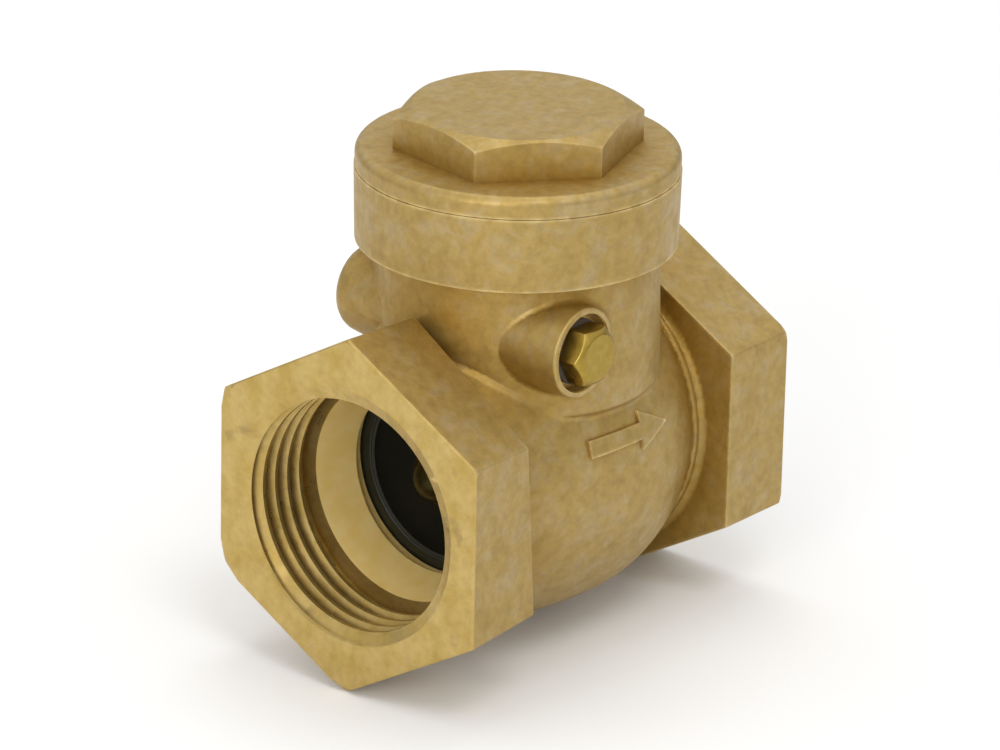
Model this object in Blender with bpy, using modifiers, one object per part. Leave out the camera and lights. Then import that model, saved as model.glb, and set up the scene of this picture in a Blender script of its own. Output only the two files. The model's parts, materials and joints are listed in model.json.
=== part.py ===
"""A 1 inch brass swing check valve: forged body, screwed cap, and a flap that swings on a hinge pin.

The pipe axis is X, and the flow runs from the inlet face at X = 0 towards +X. The cap is up, along +Z.
All lengths are in metres.
"""

import math

import bmesh
import bpy
from mathutils import Matrix, Vector

# Clearances between pieces
REST_GAP = 0.0003
RUNNING_GAP = 0.0001
THREAD_GAP = 0.0003

# Pipe thread sockets, 11 threads an inch
PIPE_MINOR_R = 0.01515
PIPE_PITCH = 0.002309
PIPE_TURNS = 4.25
RELIEF_WIDTH = 0.0014
RELIEF_DEPTH = 0.0013
MOUTH_CHAMFER = 0.0018
SOCKET_DEPTH = PIPE_PITCH * PIPE_TURNS + RELIEF_WIDTH
RELIEF_R = PIPE_MINOR_R + RELIEF_DEPTH

# Hexagon ends
FACE_TO_FACE = 0.0634
HEX_FLATS = 0.040
INLET_HEX_LENGTH = 0.0126
OUTLET_HEX_LENGTH = 0.0119
HEX_CHAMFER_REACH = 0.0015
HEX_CHAMFER_ANGLE = math.radians(30)
OUTLET_HEX_X = FACE_TO_FACE - OUTLET_HEX_LENGTH

# Port and seat, a little behind the port's edge
PORT_R = 0.0124
PORT_LENGTH = 0.005732
PORT_STEP = 0.0009
PORT_LEAD_R = PIPE_MINOR_R - PORT_STEP
SEAT_STANDOFF = 0.0014
SEAT_MOUTH = 0.0006
SEAT_TILT = math.radians(2)
SEAT_BEAD_WIDTH = 0.0008
SEAT_BEAD_HEIGHT = 0.0009
SEAT_R = PORT_R + SEAT_MOUTH
PORT_END_X = SOCKET_DEPTH + PORT_LENGTH
SEAT_X = PORT_END_X + SEAT_STANDOFF

# Sealing disc in its holder
SEAL_OVERLAP = 0.0002
SEAL_THICKNESS = 0.0028
SEAL_FACE_STEP = 0.0004
SEAL_FACE_INSET = 0.0009
HOLDER_LIP = 0.0005
HOLDER_LIP_HEIGHT = 0.0022
HOLDER_PLATE = 0.0034
HOLDER_EDGE = 0.0015
SEAL_R = SEAT_R + SEAT_BEAD_WIDTH + SEAL_OVERLAP
DISC_R = SEAL_R + REST_GAP + HOLDER_LIP
SEAL_FRONT = REST_GAP
HOLDER_FLOOR = SEAL_FRONT + SEAL_THICKNESS + REST_GAP
HOLDER_BACK = HOLDER_FLOOR + HOLDER_PLATE
SEAL_FACE = SEAL_FRONT + SEAL_FACE_STEP

# Screw and washer on the sealing disc's face
SCREW_SHANK_R = 0.0013
SCREW_HEAD_R = 0.0034
SCREW_HEAD_HEIGHT = 0.0029
SCREW_LENGTH = 0.0072
SEAL_WASHER_R = 0.0040
SEAL_WASHER_THICKNESS = 0.0006
SEAL_WASHER_BACK = SEAL_FACE - REST_GAP
SEAL_WASHER_FRONT = SEAL_WASHER_BACK - SEAL_WASHER_THICKNESS
SCREW_HEAD_BACK = SEAL_WASHER_FRONT - REST_GAP
SCREW_TIP = SCREW_HEAD_BACK + SCREW_LENGTH

# Stud, nut and washer behind the holder
STUD_R = 0.0025
STUD_TIP = 0.0006
STUD_EDGE = 0.0004
NUT_FLATS = 0.0080
NUT_HEIGHT = 0.0030
NUT_CHAMFER = 0.0006
NUT_WASHER_R = 0.0044
NUT_WASHER_THICKNESS = 0.0006

# Hinge pin
PIN_BEHIND_SEAT = 0.0049
PIN_Z = 0.0199
PIN_R = 0.0015
PIN_EDGE = 0.0003
PIN_X = SEAT_X + PIN_BEHIND_SEAT

# Hanger
HANGER_BARREL_R = 0.0033
HANGER_BARREL_LENGTH = 0.0160
HANGER_ARM_ROOT = 0.0120
HANGER_ARM_TIP = 0.0070
HANGER_ARM_THICKNESS = 0.0028
HANGER_HUB_R = 0.0046
HANGER_HUB_RISE = 0.0003
HANGER_EDGE = 0.0004
HANGER_HUB_HEIGHT = HANGER_ARM_THICKNESS + 2 * HANGER_HUB_RISE
HUB_FRONT = HOLDER_BACK + REST_GAP
HUB_BACK = HUB_FRONT + HANGER_HUB_HEIGHT
NUT_WASHER_FRONT = HUB_BACK + REST_GAP
NUT_FRONT = NUT_WASHER_FRONT + NUT_WASHER_THICKNESS + REST_GAP
STUD_END = NUT_FRONT + NUT_HEIGHT + STUD_TIP

# Chest, belly, neck and collar of the body
DISC_PASSING_GAP = 0.0005
CHEST_SWEEP_GAP = 0.0030
CHEST_SEAT_GAP = 0.0010
BODY_WALL = 0.00225
NECK_BEHIND_SEAT = 0.01435
NECK_WALL = 0.0027
NECK_FOOT_Z = 0.0102
NECK_FOOT_ROUND = 0.0016
NECK_DRAFT = 0.0005
BELLY_CROWN_BEHIND_NECK = 0.0047
BELLY_UP_REACH = 0.060
BELLY_REACH_PAST_RING = 0.0087
BELLY_RISE = 0.00175
OUTLET_RING_WALL = 0.00295
OUTLET_RING_LENGTH = 0.0014
OUTLET_RING_EDGE = 0.0005
OUTLET_STEP = 0.0005
COLLAR_TOP_Z = 0.03736
COLLAR_HEIGHT = 0.00926
COLLAR_WALL = 0.0040
COLLAR_DRAFT = 0.0002
COLLAR_EDGE = 0.0003
NECK_X = SEAT_X + NECK_BEHIND_SEAT
NECK_BORE_R = DISC_R + DISC_PASSING_GAP
NECK_R = NECK_BORE_R + NECK_WALL
CHEST_R = DISC_R + CHEST_SWEEP_GAP
CHEST_SEAT_R = DISC_R + CHEST_SEAT_GAP
BELLY_HALF_WIDTH = CHEST_R + BODY_WALL
BELLY_HALF_HEIGHT = BELLY_HALF_WIDTH + BELLY_RISE
BELLY_X = NECK_X + BELLY_CROWN_BEHIND_NECK
OUTLET_RING_R = PIPE_MINOR_R + OUTLET_RING_WALL
OUTLET_RING_X = OUTLET_HEX_X - OUTLET_RING_LENGTH
BELLY_DOWN_REACH = OUTLET_RING_X - BELLY_X + BELLY_REACH_PAST_RING
OUTLET_PASSAGE_R = PIPE_MINOR_R - OUTLET_STEP
NECK_BORE_FLOOR = 0.0060

# Cap and its gasket
CAP_THREAD_STEP = 0.0012
CAP_THREAD_LENGTH = 0.0082
CAP_SKIRT_LENGTH = 0.0064
CAP_SKIRT_WALL = 0.0034
CAP_ROOF = 0.0016
CAP_FLANGE_INSET = 0.0005
CAP_FLANGE_THICKNESS = 0.0027
CAP_FLANGE_ROUND = 0.0012
CAP_HEX_FLATS = 0.0275
CAP_HEX_HEIGHT = 0.0051
CAP_HEX_TURN = math.radians(18.7)
CAP_HEX_CHAMFER_REACH = 0.0026
CAP_HEX_CHAMFER_ANGLE = math.radians(25)
GASKET_THICKNESS = 0.0006
GASKET_WIDTH = 0.0014
CAP_THREAD_R = NECK_BORE_R + CAP_THREAD_STEP
COLLAR_R = CAP_THREAD_R + COLLAR_WALL
CAP_SKIRT_R = CAP_THREAD_R - THREAD_GAP
CAP_FLANGE_R = COLLAR_R - CAP_FLANGE_INSET
CAP_UNDERSIDE_Z = COLLAR_TOP_Z + REST_GAP
CAP_FLANGE_TOP_Z = CAP_UNDERSIDE_Z + CAP_FLANGE_THICKNESS
CAP_TOP_Z = CAP_FLANGE_TOP_Z + CAP_HEX_HEIGHT
GASKET_RECESS_DEPTH = GASKET_THICKNESS + REST_GAP
GASKET_INNER_R = CAP_THREAD_R + REST_GAP
GASKET_OUTER_R = GASKET_INNER_R + GASKET_WIDTH

# Hinge bosses and the plug that closes the drilled one
BOSS_REACH = 0.0185
BLIND_BOSS_REACH = 0.0177
BOSS_R = 0.0058
BOSS_DRAFT = 0.0018
BOSS_ROOT = 0.0050
BOSS_MOUTH_EDGE = 0.0006
BOSS_DOME = 0.0022
PLUG_FLATS = 0.0070
PLUG_HEAD_HEIGHT = 0.0026
PLUG_CHAMFER = 0.0007
PLUG_SHANK_R = 0.0029
PLUG_SHANK_LENGTH = 0.0024
PLUG_SEAL_THICKNESS = 0.0005
PLUG_SEAL_WIDTH = 0.0010
COUNTERBORE_R = 0.0049
COUNTERBORE_DEPTH = 0.0017
PIN_BLIND_COVER = 0.0026
COUNTERBORE_FLOOR = BOSS_REACH - COUNTERBORE_DEPTH
PLUG_SEAL_FACE = COUNTERBORE_FLOOR + REST_GAP
PLUG_HEAD_FACE = PLUG_SEAL_FACE + PLUG_SEAL_THICKNESS + REST_GAP
PLUG_SHANK_END = PLUG_HEAD_FACE - PLUG_SHANK_LENGTH
PLUG_DRILL_END = PLUG_SHANK_END - REST_GAP
PIN_NEAR_END = PLUG_DRILL_END
PIN_HOLE_END = BLIND_BOSS_REACH - PIN_BLIND_COVER
PIN_FAR_END = PIN_HOLE_END - REST_GAP

# Facets round a turned piece, by its size
LARGE_STEPS = 56
MEDIUM_STEPS = 36
SMALL_STEPS = 28
ARC_STEPS = 3
WELD = 0.000005
CUT_MARGIN = 0.001
SHARP_ANGLE = math.radians(28)

# Slices along the belly and the chest, and the size at which a joint's empty is drawn
BELLY_STATIONS = 16
CHEST_STATIONS = 12
PIVOT_SIZE = 0.008

ALONG_PIPE = (0, math.pi / 2, 0)
BACK_ALONG_PIPE = (0, -math.pi / 2, 0)
TOWARDS_VIEWER = (math.pi / 2, 0, 0)
AWAY_FROM_VIEWER = (-math.pi / 2, 0, 0)
ALONG_SEAT = (0, math.pi / 2 - SEAT_TILT, 0)


def clear_scene():
    for old in list(bpy.data.objects):
        bpy.data.objects.remove(old, do_unlink=True)


def make_collection(name):
    collection = bpy.data.collections.new(name)
    bpy.context.scene.collection.children.link(collection)
    return collection


def make_material(name, colour, roughness, metallic):
    material = bpy.data.materials.new(name)
    material.use_nodes = True
    shader = material.node_tree.nodes["Principled BSDF"]
    shader.inputs["Base Color"].default_value = (*colour, 1.0)
    shader.inputs["Roughness"].default_value = roughness
    shader.inputs["Metallic"].default_value = metallic
    return material


def arc(centre, radius, start, end, steps=ARC_STEPS):
    """Points round a centre in a turned piece's half section, from one angle to another."""
    points = []
    for step in range(steps + 1):
        angle = start + (end - start) * step / steps
        points.append((centre[0] + radius * math.cos(angle), centre[1] + radius * math.sin(angle)))
    return points


def add_mesh_object(name, vertices, edges, collection):
    mesh = bpy.data.meshes.new(name)
    mesh.from_pydata(vertices, edges, [])
    part = bpy.data.objects.new(name, mesh)
    collection.objects.link(part)
    return part


def turned(name, profile, collection, steps=LARGE_STEPS, location=(0, 0, 0), rotation=(0, 0, 0)):
    """Turns a half section about local Z. It starts and ends on the axis, or closes on itself as a ring."""
    vertices = [(radius, 0, height) for radius, height in profile]
    edges = [(i, i + 1) for i in range(len(vertices) - 1)]
    is_ring = min(radius for radius, _ in profile) > 0
    if is_ring:
        edges.append((len(vertices) - 1, 0))
    part = add_mesh_object(name, vertices, edges, collection)
    screw = part.modifiers.new("Turn", "SCREW")
    screw.axis = "Z"
    screw.steps = steps
    screw.render_steps = steps
    screw.use_merge_vertices = True
    screw.merge_threshold = WELD
    part.location = location
    part.rotation_euler = rotation
    return part


def ring_profile(inner, outer, low, high):
    return [(outer, high), (outer, low), (inner, low), (inner, high)]


def rod_profile(radius, low, high, edge=0.0):
    """A plain rod on the axis, with its two end corners cut back by edge."""
    if edge == 0.0:
        return [(0, high), (radius, high), (radius, low), (0, low)]
    return [
        (0, high),
        (radius - edge, high),
        (radius, high - edge),
        (radius, low + edge),
        (radius - edge, low),
        (0, low),
    ]


def hexagon(name, circumradius, low, high, collection, turn=0.0, location=(0, 0, 0), rotation=(0, 0, 0)):
    """A six-sided prism along local Z, with one corner turned by turn from local X."""
    mesh = bpy.data.meshes.new(name)
    shape = bmesh.new()
    middle = Matrix.Translation((0, 0, (low + high) / 2))
    bmesh.ops.create_cone(
        shape,
        cap_ends=True,
        segments=6,
        radius1=circumradius,
        radius2=circumradius,
        depth=high - low,
        matrix=middle @ Matrix.Rotation(turn + math.pi / 2, 4, "Z"),
    )
    shape.to_mesh(mesh)
    shape.free()
    part = bpy.data.objects.new(name, mesh)
    part.location = location
    part.rotation_euler = rotation
    collection.objects.link(part)
    return part


def combine(part, other, operation, solver="EXACT"):
    boolean = part.modifiers.new(other.name, "BOOLEAN")
    boolean.operation = operation
    boolean.solver = solver
    boolean.object = other
    other.hide_render = True
    other.display_type = "WIRE"


def join(part, *others, solver="EXACT"):
    for other in others:
        combine(part, other, "UNION", solver)


def cut(part, *cutters):
    for cutter in cutters:
        combine(part, cutter, "DIFFERENCE")


def trim_to(part, shape):
    combine(part, shape, "INTERSECT")


def settle(part, material):
    """Makes a piece's modifiers real, welds it and shades its round faces smooth."""
    bpy.context.view_layer.update()
    seen = part.evaluated_get(bpy.context.evaluated_depsgraph_get())
    mesh = bpy.data.meshes.new_from_object(seen)
    mesh.name = part.name
    shape = bmesh.new()
    shape.from_mesh(mesh)
    bmesh.ops.remove_doubles(shape, verts=shape.verts, dist=WELD)
    bmesh.ops.dissolve_degenerate(shape, edges=shape.edges, dist=WELD)
    shape.to_mesh(mesh)
    shape.free()
    part.modifiers.clear()
    part.data = mesh
    mesh.materials.clear()
    mesh.materials.append(material)
    mesh.shade_smooth()
    mesh.set_sharp_from_angle(angle=SHARP_ANGLE)
    return part


def chamfered_hexagon(name, flats_r, low, high, reach, angle, top, collection, cutters, turn=0.0, **place):
    """A hexagon whose end corners are turned off, at its top end or at both of its ends."""
    circumradius = flats_r / math.cos(math.pi / 6)
    prism = hexagon(name, circumradius, low, high, collection, turn, **place)
    clear_r = circumradius + CUT_MARGIN
    inner_r = circumradius - reach
    drop = (clear_r - inner_r) * math.tan(angle)
    profile = [(0, high), (inner_r, high), (clear_r, high - drop)]
    if top:
        profile += [(clear_r, low - CUT_MARGIN), (0, low - CUT_MARGIN)]
    else:
        profile += [(clear_r, low + drop), (inner_r, low), (0, low)]
    envelope = turned(name + "_corners", profile, cutters, MEDIUM_STEPS, **place)
    trim_to(prism, envelope)
    return prism


def belly_fall(x):
    """How much of its full size the belly keeps at x: an ellipse on each side of its crown."""
    reach = BELLY_DOWN_REACH if x > BELLY_X else BELLY_UP_REACH
    share = min(abs(x - BELLY_X) / reach, 1.0)
    return math.sqrt(1 - share * share)


def chest_radius(x):
    """The chest's inner radius: the disc's room at the seat, a swept middle, and the outlet passage."""
    if x > BELLY_X:
        return max(BELLY_HALF_WIDTH * belly_fall(x) - BODY_WALL, OUTLET_PASSAGE_R)
    share = (BELLY_X - max(x, SEAT_X)) / (BELLY_X - SEAT_X)
    return CHEST_R - (CHEST_R - CHEST_SEAT_R) * share * share


def stations(start, end, count):
    return [start + (end - start) * step / count for step in range(count + 1)]


def make_belly(cutters):
    """The belly and the ring at its outlet end: turned, then narrowed to stand flush with the flats."""
    low = INLET_HEX_LENGTH / 2
    high = OUTLET_HEX_X + OUTLET_HEX_LENGTH / 2
    profile = [(0, high), (OUTLET_RING_R, high), (OUTLET_RING_R, OUTLET_RING_X + OUTLET_RING_EDGE)]
    profile.append((OUTLET_RING_R - OUTLET_RING_EDGE, OUTLET_RING_X))
    for x in reversed(stations(low, OUTLET_RING_X, BELLY_STATIONS)):
        profile.append((BELLY_HALF_HEIGHT * belly_fall(x), x))
    profile.append((0, low))
    belly = turned("belly", profile, cutters, rotation=ALONG_PIPE)
    belly.scale.y = BELLY_HALF_WIDTH / BELLY_HALF_HEIGHT
    return belly


def make_pipe_hexagons(parts, cutters):
    """The two spanner hexagons, with their outer corners turned off. The first becomes the body."""
    inlet = chamfered_hexagon(
        "valve_body", HEX_FLATS / 2, -INLET_HEX_LENGTH, 0, HEX_CHAMFER_REACH,
        HEX_CHAMFER_ANGLE, True, parts, cutters, rotation=BACK_ALONG_PIPE,
    )
    outlet = chamfered_hexagon(
        "outlet_hexagon", HEX_FLATS / 2, OUTLET_HEX_X, FACE_TO_FACE, HEX_CHAMFER_REACH,
        HEX_CHAMFER_ANGLE, True, cutters, cutters, rotation=ALONG_PIPE,
    )
    return inlet, outlet


def make_neck(cutters):
    """The round neck that stands on the belly, with the collar that takes the cap on top."""
    bottom = COLLAR_TOP_Z - COLLAR_HEIGHT
    foot_r = NECK_R + NECK_DRAFT
    collar_low_r = COLLAR_R - COLLAR_DRAFT
    profile = [(0, COLLAR_TOP_Z)]
    profile += [(COLLAR_R - COLLAR_EDGE, COLLAR_TOP_Z), (COLLAR_R, COLLAR_TOP_Z - COLLAR_EDGE)]
    profile += [(collar_low_r, bottom + COLLAR_EDGE), (collar_low_r - COLLAR_EDGE, bottom)]
    profile += arc((NECK_R + COLLAR_EDGE, bottom - COLLAR_EDGE), COLLAR_EDGE, math.pi / 2, math.pi)
    foot = (foot_r - NECK_FOOT_ROUND, NECK_FOOT_Z + NECK_FOOT_ROUND)
    profile += arc(foot, NECK_FOOT_ROUND, 0, -math.pi / 2)
    profile.append((0, NECK_FOOT_Z))
    return turned("neck", profile, cutters, location=(NECK_X, 0, 0))


def make_bosses(cutters):
    """The two drafted bosses that carry the hinge pin: one faced for the plug, one left domed and blind."""
    root_r = BOSS_R + BOSS_DRAFT
    faced = [(0, BOSS_REACH), (BOSS_R - BOSS_MOUTH_EDGE, BOSS_REACH)]
    faced += [(BOSS_R, BOSS_REACH - BOSS_MOUTH_EDGE), (root_r, BOSS_ROOT), (0, BOSS_ROOT)]
    domed = [(0, BLIND_BOSS_REACH)]
    domed += arc((BOSS_R - BOSS_DOME, BLIND_BOSS_REACH - BOSS_DOME), BOSS_DOME, math.pi / 2, 0)
    domed += [(root_r, BOSS_ROOT), (0, BOSS_ROOT)]
    place = (PIN_X, 0, PIN_Z)
    near = turned("near_boss", faced, cutters, MEDIUM_STEPS, place, TOWARDS_VIEWER)
    far = turned("far_boss", domed, cutters, MEDIUM_STEPS, place, AWAY_FROM_VIEWER)
    return near, far


def socket_cutter(name, cutters, location, rotation):
    """A pipe socket seen along its own way in: mouth chamfer, thread bore, and relief at its end."""
    relief_start = SOCKET_DEPTH - RELIEF_WIDTH
    mouth_r = PIPE_MINOR_R + MOUTH_CHAMFER
    profile = [
        (0, SOCKET_DEPTH),
        (RELIEF_R, SOCKET_DEPTH),
        (RELIEF_R, relief_start),
        (PIPE_MINOR_R, relief_start),
        (PIPE_MINOR_R, MOUTH_CHAMFER),
        (mouth_r, 0),
        (mouth_r, -CUT_MARGIN),
        (0, -CUT_MARGIN),
    ]
    return turned(name, profile, cutters, location=location, rotation=rotation)


def make_seat(cutters):
    """The seat's bead and the wall that it stands on, which the chamber's cutter leaves standing."""
    block_r = CHEST_R + CUT_MARGIN
    block_start = -SEAT_BEAD_HEIGHT - CHEST_R
    bead_r = SEAT_R + SEAT_BEAD_WIDTH
    profile = [(0, 0), (bead_r, 0), (bead_r, -SEAT_BEAD_HEIGHT)]
    profile += [(block_r, -SEAT_BEAD_HEIGHT), (block_r, block_start), (0, block_start)]
    return turned("seat", profile, cutters, location=(SEAT_X, 0, 0), rotation=ALONG_SEAT)


def make_pipe_ways(cutters):
    """The cutters for the ways in from the pipes: both sockets and the port."""
    inlet = socket_cutter("inlet_socket", cutters, (0, 0, 0), ALONG_PIPE)
    outlet = socket_cutter("outlet_socket", cutters, (FACE_TO_FACE, 0, 0), BACK_ALONG_PIPE)

    port_start = SOCKET_DEPTH - CUT_MARGIN
    port_end = SEAT_X + SEAT_R * math.tan(SEAT_TILT) + CUT_MARGIN
    port_profile = [
        (0, port_end),
        (SEAT_R, port_end),
        (SEAT_R, PORT_END_X + SEAT_MOUTH),
        (PORT_R, PORT_END_X),
        (PORT_LEAD_R, SOCKET_DEPTH),
        (PORT_LEAD_R, port_start),
        (0, port_start),
    ]
    port = turned("port", port_profile, cutters, rotation=ALONG_PIPE)
    return inlet, outlet, port


def make_chest(cutters):
    """The long hollow behind the seat, which the flap swings in, down to the outlet passage."""
    chest_start = SEAT_X - CHEST_SEAT_R * math.tan(SEAT_TILT) - SEAT_BEAD_HEIGHT - CUT_MARGIN
    chest_end = FACE_TO_FACE - SOCKET_DEPTH + CUT_MARGIN
    chest_profile = [(0, chest_end)]
    for x in reversed(stations(chest_start, chest_end, CHEST_STATIONS)):
        chest_profile.append((chest_radius(x), x))
    chest_profile.append((0, chest_start))
    return turned("chest", chest_profile, cutters, rotation=ALONG_PIPE)


def make_neck_bore(cutters):
    """The way in from the top: gasket recess, cap thread bore and the bore that the disc passes through."""
    recess_r = GASKET_OUTER_R + REST_GAP
    recess_floor = COLLAR_TOP_Z - GASKET_RECESS_DEPTH
    thread_end = COLLAR_TOP_Z - CAP_THREAD_LENGTH
    profile = [
        (0, COLLAR_TOP_Z + CUT_MARGIN),
        (recess_r, COLLAR_TOP_Z + CUT_MARGIN),
        (recess_r, recess_floor),
        (CAP_THREAD_R, recess_floor),
        (CAP_THREAD_R, thread_end),
        (NECK_BORE_R, thread_end - CAP_THREAD_STEP),
        (NECK_BORE_R, NECK_BORE_FLOOR),
        (0, NECK_BORE_FLOOR),
    ]
    return turned("neck_bore", profile, cutters, location=(NECK_X, 0, 0))


def make_pin_bore(cutters):
    """The hinge pin's hole, drilled from the near boss, with the plug's counterbore at its mouth."""
    pin_hole_r = PIN_R + RUNNING_GAP
    drill_r = PLUG_SHANK_R + THREAD_GAP
    mouth = PLUG_HEAD_FACE + PLUG_HEAD_HEIGHT + CUT_MARGIN
    profile = [
        (0, mouth),
        (COUNTERBORE_R, mouth),
        (COUNTERBORE_R, COUNTERBORE_FLOOR),
        (drill_r, COUNTERBORE_FLOOR),
        (drill_r, PLUG_DRILL_END),
        (pin_hole_r, PLUG_DRILL_END),
        (pin_hole_r, -PIN_HOLE_END),
        (0, -PIN_HOLE_END),
    ]
    return turned("pin_bore", profile, cutters, SMALL_STEPS, (PIN_X, 0, PIN_Z), TOWARDS_VIEWER)


def make_body(parts, cutters, brass):
    body, outlet = make_pipe_hexagons(parts, cutters)
    join(body, make_belly(cutters), outlet, make_neck(cutters), *make_bosses(cutters))
    # The hollow's surfaces cross where facets nearly touch, which the exact solver leaves open.
    hollow = make_chest(cutters)
    join(hollow, make_neck_bore(cutters), solver="MANIFOLD")
    combine(hollow, make_seat(cutters), "DIFFERENCE", "MANIFOLD")
    join(hollow, *make_pipe_ways(cutters), make_pin_bore(cutters), solver="MANIFOLD")
    cut(body, hollow)
    return settle(body, brass)


def make_cap(parts, cutters, brass):
    """The screwed cap: a round flange over the collar, a hollow threaded skirt, and a chamfered hexagon."""
    skirt_end = CAP_UNDERSIDE_Z - CAP_SKIRT_LENGTH
    hollow_r = CAP_SKIRT_R - CAP_SKIRT_WALL
    roof = CAP_FLANGE_TOP_Z - CAP_ROOF
    side = CAP_FLANGE_R - CAP_FLANGE_ROUND
    profile = [(0, CAP_FLANGE_TOP_Z)]
    profile += arc((side, CAP_FLANGE_TOP_Z - CAP_FLANGE_ROUND), CAP_FLANGE_ROUND, math.pi / 2, 0)
    profile += [(CAP_FLANGE_R, CAP_UNDERSIDE_Z), (CAP_SKIRT_R, CAP_UNDERSIDE_Z)]
    profile += [(CAP_SKIRT_R, skirt_end), (hollow_r, skirt_end), (hollow_r, roof), (0, roof)]
    cap = turned("cap", profile, parts, location=(NECK_X, 0, 0))
    head = chamfered_hexagon(
        "cap_hexagon", CAP_HEX_FLATS / 2, CAP_FLANGE_TOP_Z - CUT_MARGIN, CAP_TOP_Z, CAP_HEX_CHAMFER_REACH,
        CAP_HEX_CHAMFER_ANGLE, True, cutters, cutters, CAP_HEX_TURN, location=(NECK_X, 0, 0),
    )
    join(cap, head)
    return settle(cap, brass)


def make_gasket(parts, material):
    top = COLLAR_TOP_Z
    profile = ring_profile(GASKET_INNER_R, GASKET_OUTER_R, top - GASKET_THICKNESS, top)
    gasket = turned("cap_gasket", profile, parts, location=(NECK_X, 0, 0))
    return settle(gasket, material)


def make_pin(parts, steel):
    profile = rod_profile(PIN_R, -PIN_FAR_END, PIN_NEAR_END, PIN_EDGE)
    pin = turned("hinge_pin", profile, parts, SMALL_STEPS, (PIN_X, 0, PIN_Z), TOWARDS_VIEWER)
    return settle(pin, steel)


def make_plug(parts, cutters, brass, seal_material):
    """The hexagon-headed plug that closes the pin's hole, and the ring that seals under its head."""
    place = {"location": (PIN_X, 0, PIN_Z), "rotation": TOWARDS_VIEWER}
    head_end = PLUG_HEAD_FACE + PLUG_HEAD_HEIGHT
    plug = chamfered_hexagon(
        "pin_plug", PLUG_FLATS / 2, PLUG_HEAD_FACE, head_end, PLUG_CHAMFER,
        HEX_CHAMFER_ANGLE, True, parts, cutters, **place,
    )
    shank_profile = rod_profile(PLUG_SHANK_R, PLUG_SHANK_END, PLUG_HEAD_FACE + CUT_MARGIN, PIN_EDGE)
    shank = turned("plug_shank", shank_profile, cutters, SMALL_STEPS, **place)
    join(plug, shank)
    settle(plug, brass)

    inner = PLUG_SHANK_R + REST_GAP
    seal_profile = ring_profile(inner, inner + PLUG_SEAL_WIDTH, PLUG_SEAL_FACE, PLUG_HEAD_FACE - REST_GAP)
    seal = turned("plug_seal", seal_profile, parts, SMALL_STEPS, **place)
    settle(seal, seal_material)


def make_pivot(name, location, rotation, collection, parent=None):
    """An empty on a joint's axis, which carries the pieces that move about it."""
    pivot = bpy.data.objects.new(name, None)
    pivot.empty_display_size = PIVOT_SIZE
    pivot.location = location
    pivot.rotation_euler = rotation
    pivot.parent = parent
    collection.objects.link(pivot)
    return pivot


def pin_from_seat():
    """The hinge pin's place in the seat's frame: how far behind the seat, and how far above its middle."""
    offset = Vector((PIN_BEHIND_SEAT, 0, PIN_Z))
    behind = offset.x * math.cos(SEAT_TILT) + offset.z * math.sin(SEAT_TILT)
    above = offset.z * math.cos(SEAT_TILT) - offset.x * math.sin(SEAT_TILT)
    return behind, above


def slab(name, outline, thickness, collection):
    """A flat outline in local X and Y, given a thickness along Z, as a closed mesh."""
    curve = bpy.data.curves.new(name, "CURVE")
    curve.dimensions = "2D"
    curve.fill_mode = "BOTH"
    curve.extrude = thickness / 2
    spline = curve.splines.new("POLY")
    spline.points.add(len(outline) - 1)
    for point, (x, y) in zip(spline.points, outline):
        point.co = (x, y, 0, 1)
    spline.use_cyclic_u = True
    guide = bpy.data.objects.new(name + "_outline", curve)
    collection.objects.link(guide)
    bpy.context.view_layer.update()
    seen = guide.evaluated_get(bpy.context.evaluated_depsgraph_get())
    mesh = bpy.data.meshes.new_from_object(seen)
    shape = bmesh.new()
    shape.from_mesh(mesh)
    bmesh.ops.remove_doubles(shape, verts=shape.verts, dist=WELD)
    bmesh.ops.recalc_face_normals(shape, faces=shape.faces)
    shape.to_mesh(mesh)
    shape.free()
    bpy.data.objects.remove(guide, do_unlink=True)
    part = bpy.data.objects.new(name, mesh)
    collection.objects.link(part)
    return part


def make_hanger(parts, cutters, brass, pivot):
    """The swing arm: a barrel on the pin, a tapered arm behind the disc, and a hub round the stud.

    Its own frame has the pin at the origin, Z along the stud and X down towards the disc.
    """
    behind, above = pin_from_seat()
    hub_low = HUB_FRONT - behind
    hub_high = HUB_BACK - behind

    barrel_half = HANGER_BARREL_LENGTH / 2
    barrel_profile = rod_profile(HANGER_BARREL_R, -barrel_half, barrel_half, HANGER_EDGE)
    barrel = turned("hanger", barrel_profile, parts, SMALL_STEPS, rotation=TOWARDS_VIEWER)

    hub_profile = rod_profile(HANGER_HUB_R, hub_low, hub_high, HANGER_EDGE)
    hub = turned("hanger_hub", hub_profile, cutters, SMALL_STEPS, (above, 0, 0))

    tip = HANGER_ARM_TIP / 2
    root = HANGER_ARM_ROOT / 2
    outline = [(0, -root), (above, -tip), (above, tip), (0, root)]
    arm = slab("hanger_arm", outline, HANGER_ARM_THICKNESS, cutters)
    arm.location.z = (hub_low + hub_high) / 2

    hole_half = barrel_half + CUT_MARGIN
    pin_hole = turned(
        "hanger_pin_hole", rod_profile(PIN_R + RUNNING_GAP, -hole_half, hole_half),
        cutters, SMALL_STEPS, rotation=TOWARDS_VIEWER,
    )
    stud_hole = turned(
        "hanger_stud_hole", rod_profile(STUD_R + RUNNING_GAP, hub_low - CUT_MARGIN, hub_high + CUT_MARGIN),
        cutters, SMALL_STEPS, (above, 0, 0),
    )
    for piece in (barrel, hub, arm, pin_hole, stud_hole):
        piece.parent = pivot
    join(barrel, arm, hub)
    cut(barrel, pin_hole, stud_hole)
    return settle(barrel, brass)


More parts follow.
